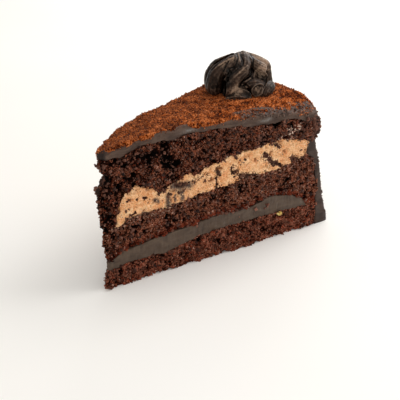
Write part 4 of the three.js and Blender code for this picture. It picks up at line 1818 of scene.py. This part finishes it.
    # creases get painted shade and ridges painted highlight, by each stroke's tone
    strokes: tuple[Stroke, ...] = (
        Stroke(((-12.5, 7.8), (-9.3, 11.0), (-5.5, 13.8), (-2.3, 15.7)), 0.42, 0.5, -0.8),
        Stroke(((-1.1, 15.1), (-0.6, 12.5), (-1.4, 10.0), (-2.8, 8.0), (-4.7, 7.9)),
               0.34, 0.45, -0.8),
        Stroke(((-4.9, 7.8), (-4.2, 5.7), (-5.7, 3.2), (-6.7, 0.2), (-6.8, -3.0)), 0.55, 0.8, -1),
        Stroke(((0.4, 16.2), (0.9, 13.8), (1.7, 11.2), (1.3, 9.0), (-0.8, 7.3), (-3.7, 4.8)),
               0.34, 0.5, -0.8),
        Stroke(((5.4, 15.4), (6.4, 12.5), (6.0, 9.5), (6.0, 6.9), (4.8, 4.3), (1.9, 2.3),
                (0.4, 0.9)), 0.4, 0.6, -0.9),
        Stroke(((12.8, 7.4), (13.3, 4.9), (12.0, 3.1)), 0.3, 0.3, -0.6),
        Stroke(((0.9, 1.5), (3.0, 0.2), (4.8, -1.3), (5.4, -3.6)), 0.38, 0.4, -0.8),
        Stroke(((-10.8, 8.3), (-6.8, 11.1), (-2.5, 13.1)), 0.32, -0.15, 0.55),
        Stroke(((-0.8, 15.7), (-0.2, 13.4), (0.4, 10.5)), 0.26, -0.1, 0.45),
        Stroke(((-3.4, -3.0), (-1.3, -1.1), (1.3, -0.3), (3.6, -0.6)), 0.55, -0.2, 0.6),
        Stroke(((-2.5, 3.2), (0.4, 6.1), (3.6, 9.0)), 0.4, -0.1, 0.4),
        Stroke(((7.7, 7.4), (10.2, 8.2), (12.5, 7.7)), 0.4, -0.1, 0.4),
        Stroke(((7.7, 13.8), (10.6, 13.1), (13.8, 11.7)), 0.5, -0.1, 0.35),
    )
    # painted highlight at spots whose amount is above 0, painted shade where it is below
    painted_light: Table = (
        (14.7, -5.3, 2.5, 3.2, -0.6), (-0.6, -12.9, 4.7, 2.7, 0.95), (-4.7, -12.4, 4.3, 2.0, 0.5),
        (10.6, 0.6, 12.4, 4.4, 0.95), (6.8, 4.2, 14.3, 3, 0.55), (10.6, -4.6, 11.0, 2.9, 0.75),
        (-3.4, -3.4, 15.9, 2.4, 0.5), (-6.8, -5.1, 13.9, 2.0, 0.35), (2.1, 1.8, 16.5, 2.2, 0.6),
        (8.1, -11.1, 4.1, 1.7, 0.6), (1.7, -8.9, 12.5, 2.4, 0.25), (-1.7, 5.2, 15.7, 1.6, 0.3),
        (-4.7, -9.5, 10.9, 2.2, -0.9), (-5.5, -11.7, 5.8, 2.0, -1.0), (3.6, -12.0, 6.5, 2.2, -0.7),
        (6.0, -7.6, 12.3, 1.6, -0.9), (-11.5, 3.7, 11.2, 3.2, -0.9), (-14.4, -2.6, 6.9, 3.4, -0.9),
        (-1.3, -7.6, 13.8, 1.5, -0.7), (3.8, -13.0, 1.4, 1.5, -1.0), (-9.8, -9.8, 4.6, 3.4, -0.7),
    )
    finish: Finish = CreamFinish()

    def make(self) -> bpy.types.Object:
        """Builds and dresses the rosette.

        Returns:
            The piece.
        """
        shape = bmesh.new()
        bmesh.ops.create_uvsphere(shape, u_segments=48, v_segments=32, radius=1.0)
        bmesh.ops.scale(shape, verts=shape.verts, vec=self.heart)
        self.ruffle(shape)
        for fold in self.folds:
            Bench.join(shape, fold.draw())
        whole = self.fused(shape)
        self.carve(whole)
        seat = float(along(FORM.icing_line, np.array([self.at[0]]))[0])
        turn = Matrix.Rotation(-self.facing, 3, "Z")
        place = (self.at[0] - MIDDLE[0], self.at[1] - MIDDLE[1], seat)
        bmesh.ops.rotate(whole, verts=whole.verts, matrix=turn)
        bmesh.ops.translate(whole, verts=whole.verts, vec=place)
        bmesh.ops.scale(whole, verts=whole.verts, vec=(MM,) * 3)
        everything = [*whole.verts, *whole.edges, *whole.faces]
        bmesh.ops.bisect_plane(whole, geom=everything, dist=1e-7, clear_outer=True,
                               plane_co=(0, 0, (seat - self.sunk) * MM), plane_no=(0, 0, -1))
        bmesh.ops.holes_fill(whole, edges=[e for e in whole.edges if e.is_boundary], sides=0)
        return Bench.piece("rosette_cream", whole, "rosette", self.finish.material(), ["rosette"])

    def ruffle(self, shape: Shape) -> None:
        """Adds small torn bits along the front of the foot and in the crease beside it.

        Args:
            shape: what they are added to.
        """
        rng = np.random.default_rng(self.bit_seed)
        foot = [(-5.8 + 0.95 * n, -12.8 - 0.9 * math.sin(0.3 * n), 0.2 + 0.3 * (n % 2))
                for n in range(11)]
        crease = [(-5.6 + 0.7 * n, -9.6 + 0.2 * n, 8.6 + 0.62 * n) for n in range(8)]
        for place in foot + crease:
            size = rng.uniform(*self.bit_size)
            bit = bmesh.ops.create_icosphere(shape, subdivisions=2, radius=size)["verts"]
            bmesh.ops.scale(shape, verts=bit, vec=rng.uniform(0.6, 1.4, 3))
            place = np.array(place) + rng.uniform(-0.25, 0.25, 3)
            bmesh.ops.translate(shape, verts=bit, vec=place)

    def fused(self, shape: Shape) -> Shape:
        """Fuses the folds.

        Args:
            shape: the folds, which are freed.

        Returns:
            One skin round them all.
        """
        mesh = Bench.mesh("folds", shape)
        holder = Bench.link("folds", mesh)
        remesh = holder.modifiers.new("fuse", "REMESH")
        remesh.mode, remesh.voxel_size = "VOXEL", self.voxel
        skin = bmesh.new()
        skin.from_object(holder, bpy.context.evaluated_depsgraph_get())
        bpy.data.objects.remove(holder)
        bpy.data.meshes.remove(mesh)
        return skin

    def carve(self, skin: Shape) -> None:
        """Presses the scoops and strokes in, softens the skin and marks its hollows and painted
        light and shade.

        Args:
            skin: the fused folds, in millimetres.
        """
        points = Bench.spots(skin)
        out = np.array([v.normal[:] for v in skin.verts])
        rise = sum(height * FINE_NOISE.swell(points, size) for size, height in self.swells)
        for scoop in self.scoops:
            points = scoop.press(points)
        pressed, tones = self.drawn(points, out)
        points = points + out * (rise - pressed)[:, None]
        Bench.move(skin, points)
        for _ in range(2):
            bmesh.ops.smooth_vert(skin, verts=skin.verts, factor=0.5,
                                  use_axis_x=True, use_axis_y=True, use_axis_z=True)
        Bench.mark_hollows(skin, self.hollows)
        # painted highlight and shade at listed spots, added to the strokes'
        for *spot, reach, amount in self.painted_light:
            tones += amount * np.exp(-(((points - spot) / reach) ** 2).sum(axis=1))
        Bench.mark(skin, "painted_light", 0.5 + 0.5 * tones)

    def drawn(self, points: Array, out: Array) -> tuple[Array, Array]:
        """Draws the strokes on the front, as seen from the front and a little above.

        Args:
            points: points of the skin.
            out: their outward directions.

        Returns:
            How deep each point is pressed, and how much painted highlight, or below 0 painted
            shade, it gets.
        """
        rise, back = math.cos(self.tilt), math.sin(self.tilt)
        seen = np.stack([points[:, 0], points[:, 1] * back + points[:, 2] * rise], -1)
        front = step(out[:, 2] * back - out[:, 1] * rise, 0.0, 0.3)
        deep, tones = np.zeros(len(points)), np.zeros(len(points))
        for stroke in self.strokes:
            for start, end in zip(stroke.path, stroke.path[1:]):
                gap = off_line(seen, np.array(start), np.array(end))
                close = front * bell(gap, stroke.half)
                deep = self.stronger(deep, stroke.depth * close)
                tones = self.stronger(tones, stroke.tone * close)
        return deep, tones

    @staticmethod
    def stronger(first: Array, second: Array) -> Array:
        """The one of two numbers that lies further from 0, at each point."""
        return np.where(np.abs(second) > np.abs(first), second, first)


# ---- Loose bits ----
@dataclass
class Strewn:
    """Small rough bits stuck to a surface, each a lump of its own size and tone."""

    name: str
    slot: str
    finish: Finish
    count: int
    smallest: float
    largest: float
    seed: int
    sink: float = 0.25
    detail: int = 2
    few_large: float = 2.2
    rough: float = 0.28
    stretch: Span = (0.6, 1.25)
    lowest: float = 0.02

    def make(self, spots: Array, out: Array, weight: Array) -> bpy.types.Object:
        """Strews the bits.

        Args:
            spots: points that a bit can sit on, in slice millimetres.
            out: the outward direction at each.
            weight: how likely a bit is at each.

        Returns:
            The piece.
        """
        rng = np.random.default_rng(self.seed)
        lump = bmesh.new()
        bmesh.ops.create_icosphere(lump, subdivisions=self.detail, radius=1.0)
        ball = Bench.spots(lump)
        faces = np.array([[v.index for v in f.verts] for f in lump.faces])
        lump.free()
        chosen = rng.choice(len(spots), self.count, p=weight / weight.sum())
        share = rng.random(self.count) ** self.few_large
        size = (self.smallest * (self.largest / self.smallest) ** share)[:, None, None]
        wobble = rng.standard_normal((self.count, len(ball), 1)).clip(-1.5, 1.5)
        stretch = rng.uniform(*self.stretch, (self.count, 1, 3))
        turn, _ = np.linalg.qr(rng.standard_normal((self.count, 3, 3)))
        body = ball[None] * (1 + self.rough * wobble) * stretch
        body = np.einsum("nij,nvj->nvi", turn, body) * size * 0.5
        place = spots[chosen] + out[chosen] * (0.5 - self.sink) * size[:, 0]
        body = body + place[:, None, :]
        body[..., 2] = np.maximum(body[..., 2], self.lowest)
        verts = Bench.to_frame(body.reshape(-1, 3))
        tris = (faces[None] + (np.arange(self.count) * len(ball))[:, None, None]).reshape(-1, 3)
        mesh = bpy.data.meshes.new(self.name)
        mesh.from_pydata(verts.tolist(), [], tris.tolist())
        tones = np.repeat(rng.random(self.count), len(ball)).astype(np.float32)
        mesh.attributes.new("tone", "FLOAT", "POINT").data.foreach_set("value", tones)
        return Bench.dress(self.name, mesh, self.slot, self.finish.material())


TOP_BITS = GrainFinish("crumb_bits_top", "190804", "8a5a48")


# ---- The slice ----
class CakeSlice:
    """The whole slice: its layers, icing, rosette and loose bits."""

    def __init__(self) -> None:
        """Sets out the layers between the seams that they share."""
        seams = Seams()
        # Each sponge's table of painted shade darkens it towards the blunt tip, whose face turns
        # away from the light; values below 0 lighten it.
        self.bottom = Sponge(
            "sponge_bottom_crumb", "sponge",
            CrumbFinish("crumb_bottom", body="542616", crest_highlight="a86c56", red="8e3a22",
                        red_share=0.28),
            seams.base, seams.lower, 40, "sponge_bottom",
            painted_shade=((0, 0.06), (6, 0), (112, 0)), red=0.1, red_foot=0.2)
        self.fudge = Fudge(
            "fudge_band", "fudge", FudgeFinish(),
            seams.lower, seams.fudge_top, 26, "fudge_filling", crag=0.2)
        self.middle = Sponge(
            "sponge_middle_crumb", "sponge",
            CrumbFinish("crumb_middle", body="5a2c1b", crest_highlight="a0664e"),
            seams.over_fudge, seams.upper, 50, "sponge_middle",
            painted_shade=((0, 0.1), (7, 0), (112, -0.02)), red_seam=0.8)
        self.mousse = Mousse(
            "mousse_band", "mousse", MousseFinish(), seams.upper, seams.mousse_top, 46,
            "mousse_filling", start=2.8, crag=0.7)
        self.top = Sponge(
            "sponge_top_crumb", "sponge", CrumbFinish("crumb_top"), seams.over_mousse,
            FORM.icing_underside, 84, "sponge_top",
            painted_shade=((0, 0.2), (5, 0.04), (30, 0.01), (80, 0.01), (104, -0.12)),
            tears=((28.8, 60, 1.4, 3.8, 3.2), (29.6, 54.4, 2.8, 2.6, 3.2),
                   (33.6, 51.4, 3, 1.6, 2.6), (21, 58.5, 7, 2.2, 1.4),
                   (-1.4, 52.2, 3.6, 2.6, 2.2)))
        self.icing = Icing()
        self.rosette = Rosette()

    def make(self) -> None:
        """Builds every piece in order, from the plate up."""
        for layer in (self.bottom, self.fudge, self.middle, self.mousse, self.top):
            layer.make()
        self.icing.make()
        self.rosette.make()
        self.strew_cuts()
        self.strew_icing()

    def strew_cuts(self) -> None:
        """Adds loose bits on the cuts and the tip, where the chance of each kind says."""
        cuts, front, tip = (Part.FRONT, Part.REAR, Part.TIP), (Part.FRONT,), (Part.TIP,)
        kinds = (
            (Strewn("crumbs_top", "sponge", TOP_BITS, 2400, 0.5, 1.5, 21),
             self.top, cuts, self.anywhere),
            (Strewn("crumbs_middle", "sponge", GrainFinish("crumb_bits_middle", "26100a", "946452"),
                    1500, 0.5, 1.5, 22), self.middle, cuts, self.anywhere),
            (Strewn("crumbs_bottom", "sponge", GrainFinish("crumb_bits_bottom", "2c1008", "96583f"),
                    1500, 0.5, 1.5, 23), self.bottom, cuts, self.anywhere),
            (Strewn("crumbs_mousse", "sponge", GrainFinish("crumb_bits_mousse", "24100a", "7e5440"),
                    600, 0.4, 1.4, 24, 0.35), self.mousse, cuts, self.on_mousse),
            (Strewn("mousse_flecks", "mousse", GrainFinish("mousse_bits", "a8765c", "ffe6d2"),
                    90, 0.4, 1.0, 28, 0.2), self.top, front, self.over_mousse),
            (Strewn("mousse_specks", "mousse", GrainFinish("mousse_specks", "5a3424", "c49c84"),
                    210, 0.35, 0.95, 36), self.middle, front, self.under_mousse),
            (Strewn("crumb_yellow", "mousse", GrainFinish("crumb_bits_yellow", "d0a648", "fff0a8"),
                    10, 0.9, 2.0, 33, 0.15), self.bottom, front, self.at_yellow),
            (Strewn("crumbs_fudge", "sponge", GrainFinish("crumb_bits_fudge", "5a2c20", "a06c58"),
                    9, 0.6, 1.5, 34, 0.3), self.fudge, front, self.on_fudge),
            (Strewn("crumbs_tip", "sponge", TOP_BITS, 60, 1.2, 2.6, 26, 0.3),
             self.top, tip, self.at_tip),
        )
        for bits, layer, parts, chance in kinds:
            on = layer.on(*parts)
            spot = layer.points[on]
            bits.make(spot, layer.out[on], chance(spot))

    @staticmethod
    def anywhere(spot: Array) -> Array:
        """The same chance of a bit at every point."""
        return np.ones(len(spot))

    def on_mousse(self, spot: Array) -> Array:
        """Gathers crumbs along the mousse's seams and where the knife dragged them.

        Args:
            spot: every point of the mousse's cuts and tip.

        Returns:
            The chance of a crumb at each.
        """
        inset = self.mousse.inset[self.mousse.on(Part.FRONT, Part.REAR, Part.TIP)]
        chance = 0.02 + 0.5 * bell(inset, 0.6) + 0.1 * (SOLID_NOISE.swell(spot, 4.0) > 0.5)
        dragged = 2.0 * near(spot, self.mousse.dirt) + 0.25 * near(spot, self.mousse.smears)
        return chance + dragged

    @staticmethod
    def over_mousse(spot: Array) -> Array:
        """Gathers flecks of mousse on the sponge above it, most near the rim.

        Args:
            spot: places on the cut.

        Returns:
            The chance at each.
        """
        chance = near(spot, ((89.5, 52.4, 98.5, 53.8, 2.3), (95, 51.4, 99, 53.4, 1.6)))
        specks = near(spot, ((59.8, 48.9, 59.9, 48.9, 0.8), (80.2, 49.8, 80.3, 49.8, 0.8)))
        return chance + specks + 0.0005

    @staticmethod
    def under_mousse(spot: Array) -> Array:
        """Gathers specks of mousse just under its lower seam, near the tip and the rim."""
        below = along(FORM.upper_seam, spot[:, 0]) - spot[:, 2]
        return bell(below, 1.9) * (0.3 + (spot[:, 0] < 30) + step(spot[:, 0], 56, 66))

    @staticmethod
    def at_yellow(spot: Array) -> Array:
        """One small yellow heap on the bottom sponge."""
        return bell(np.hypot(spot[:, 0] - 89.4, spot[:, 2] - 12.6), 0.7)

    @staticmethod
    def on_fudge(spot: Array) -> Array:
        """One small reddish heap on the fudge, and a bit or two beside it."""
        return bell(np.hypot(spot[:, 0] - 82.3, spot[:, 2] - 17.7), 1.0) + 0.0008

    @staticmethod
    def at_tip(spot: Array) -> Array:
        """Gathers crumbs at two heights of the torn tip."""
        chance = bell(spot[:, 2] - 58.6, 1.2) + bell(spot[:, 2] - 48.5, 1.8) + 0.02
        return chance * (spot[:, 1] < 14)

    def strew_icing(self) -> None:
        """Adds crumbs over the rim and on the bare icing, and grains of cocoa."""
        spot, out = self.icing.points.reshape(-1, 3), self.icing.out.reshape(-1, 3)
        cocoa = self.icing.cocoa.reshape(-1)
        rim = np.clip(1 - np.abs(spot[:, 2] - 52.5) / 6.5, 0, 1)
        rim = rim * (spot[:, 0] > 103.4) * (spot[:, 1] < 0.8)
        Strewn("crumbs_rim", "sponge", TOP_BITS, 150, 0.7, 2.4, 27, 0.3).make(spot, out, rim)
        bare = step(FORM.place_of(spot), 60, 78) * (spot[:, 1] < 3.5)
        bare = bare * (out[:, 2] > 0.1) * (cocoa < 0.6) + 0.002
        Strewn("crumbs_icing", "icing", GrainFinish("crumb_bits_icing", "1c0c07", "9a7c6c"),
               300, 0.35, 1.0, 35, 0.3).make(spot, out, bare)
        on = cocoa > 0.3
        Strewn("cocoa_grains", "icing", GrainFinish("cocoa_bits", "3c1407", "c87038", 0.3),
               8500, 0.28, 0.8, 31, detail=1).make(spot[on], out[on], cocoa[on])


# ---- Studio ----
@dataclass(frozen=True)
class Lamp:
    """A square soft light that faces the slice; its place and size are in metres."""

    name: str
    place: Triple
    size: float
    power: float

    def hang(self, aim: Triple = (0.0, 0.0, 0.03)) -> None:
        """Hangs the light.

        Args:
            aim: the point that it faces, in metres.
        """
        light = bpy.data.lights.new(self.name, "AREA")
        light.shape, light.size, light.energy = "SQUARE", self.size, self.power
        holder = Bench.link(self.name, light)
        holder.location = self.place
        ahead = Vector(aim) - Vector(self.place)
        holder.rotation_euler = ahead.to_track_quat("-Z", "Y").to_euler()


@dataclass
class Studio:
    """A plain pale floor, soft light and the camera, whose eye is in slice millimetres."""

    eye: Triple = (-138.337, -302.743, 215.703)
    swing: float = math.radians(31.3348)
    pitch: float = math.radians(27.5)
    lens: float = 81.0
    film: float = 36.0
    floor_half: float = 3.0
    sky: tuple[float, float, float, float] = (1.0, 0.993, 0.98, 1.0)
    sky_strength: float = 0.57
    lamps: tuple[Lamp, ...] = (
        Lamp("key", (0.62, -0.05, 0.6), 0.7, 5.0),
        Lamp("window", (-0.35, -0.5, 0.75), 0.35, 1.0),
        Lamp("rear", (0.5, 0.5, 0.35), 0.4, 1.2),
    )

    def floor(self) -> None:
        """Lays the floor."""
        shape = bmesh.new()
        bmesh.ops.create_grid(shape, x_segments=1, y_segments=1, size=self.floor_half)
        mesh = Bench.mesh("floor", shape)
        mesh.materials.append(FloorFinish().material())
        floor = Bench.link("floor", mesh)

    def lights(self) -> None:
        """Hangs the lamps under a pale sky."""
        for lamp in self.lamps:
            lamp.hang()
        world = bpy.data.worlds.new("studio")
        world.use_nodes = True
        background = world.node_tree.nodes["Background"]
        background.inputs["Color"].default_value = self.sky
        background.inputs["Strength"].default_value = self.sky_strength
        bpy.context.scene.world = world

    def camera(self) -> None:
        """Sets up the camera."""
        data = bpy.data.cameras.new("camera")
        data.lens, data.sensor_width = self.lens, self.film
        camera = Bench.link("camera", data)
        sine, cosine, level = math.sin(self.swing), math.cos(self.swing), math.cos(self.pitch)
        ahead = Vector((sine * level, cosine * level, -math.sin(self.pitch)))
        right = Vector((cosine, -sine, 0))
        camera.location = Vector(Bench.to_frame(np.array(self.eye)))
        camera.rotation_euler = Matrix((right, right.cross(ahead), -ahead)).transposed().to_euler()
        bpy.context.scene.camera = camera

    def make(self) -> None:
        """Sets the stage."""
        self.floor()
        self.lights()
        self.camera()
        bpy.context.scene.view_settings.view_transform = "Standard"


def main() -> None:
    """Loads the frame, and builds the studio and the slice."""
    logging.basicConfig(level=logging.INFO, format="%(name)s: %(message)s")
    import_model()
    Studio().make()
    CakeSlice().make()


if __name__ == "__main__":
    main()
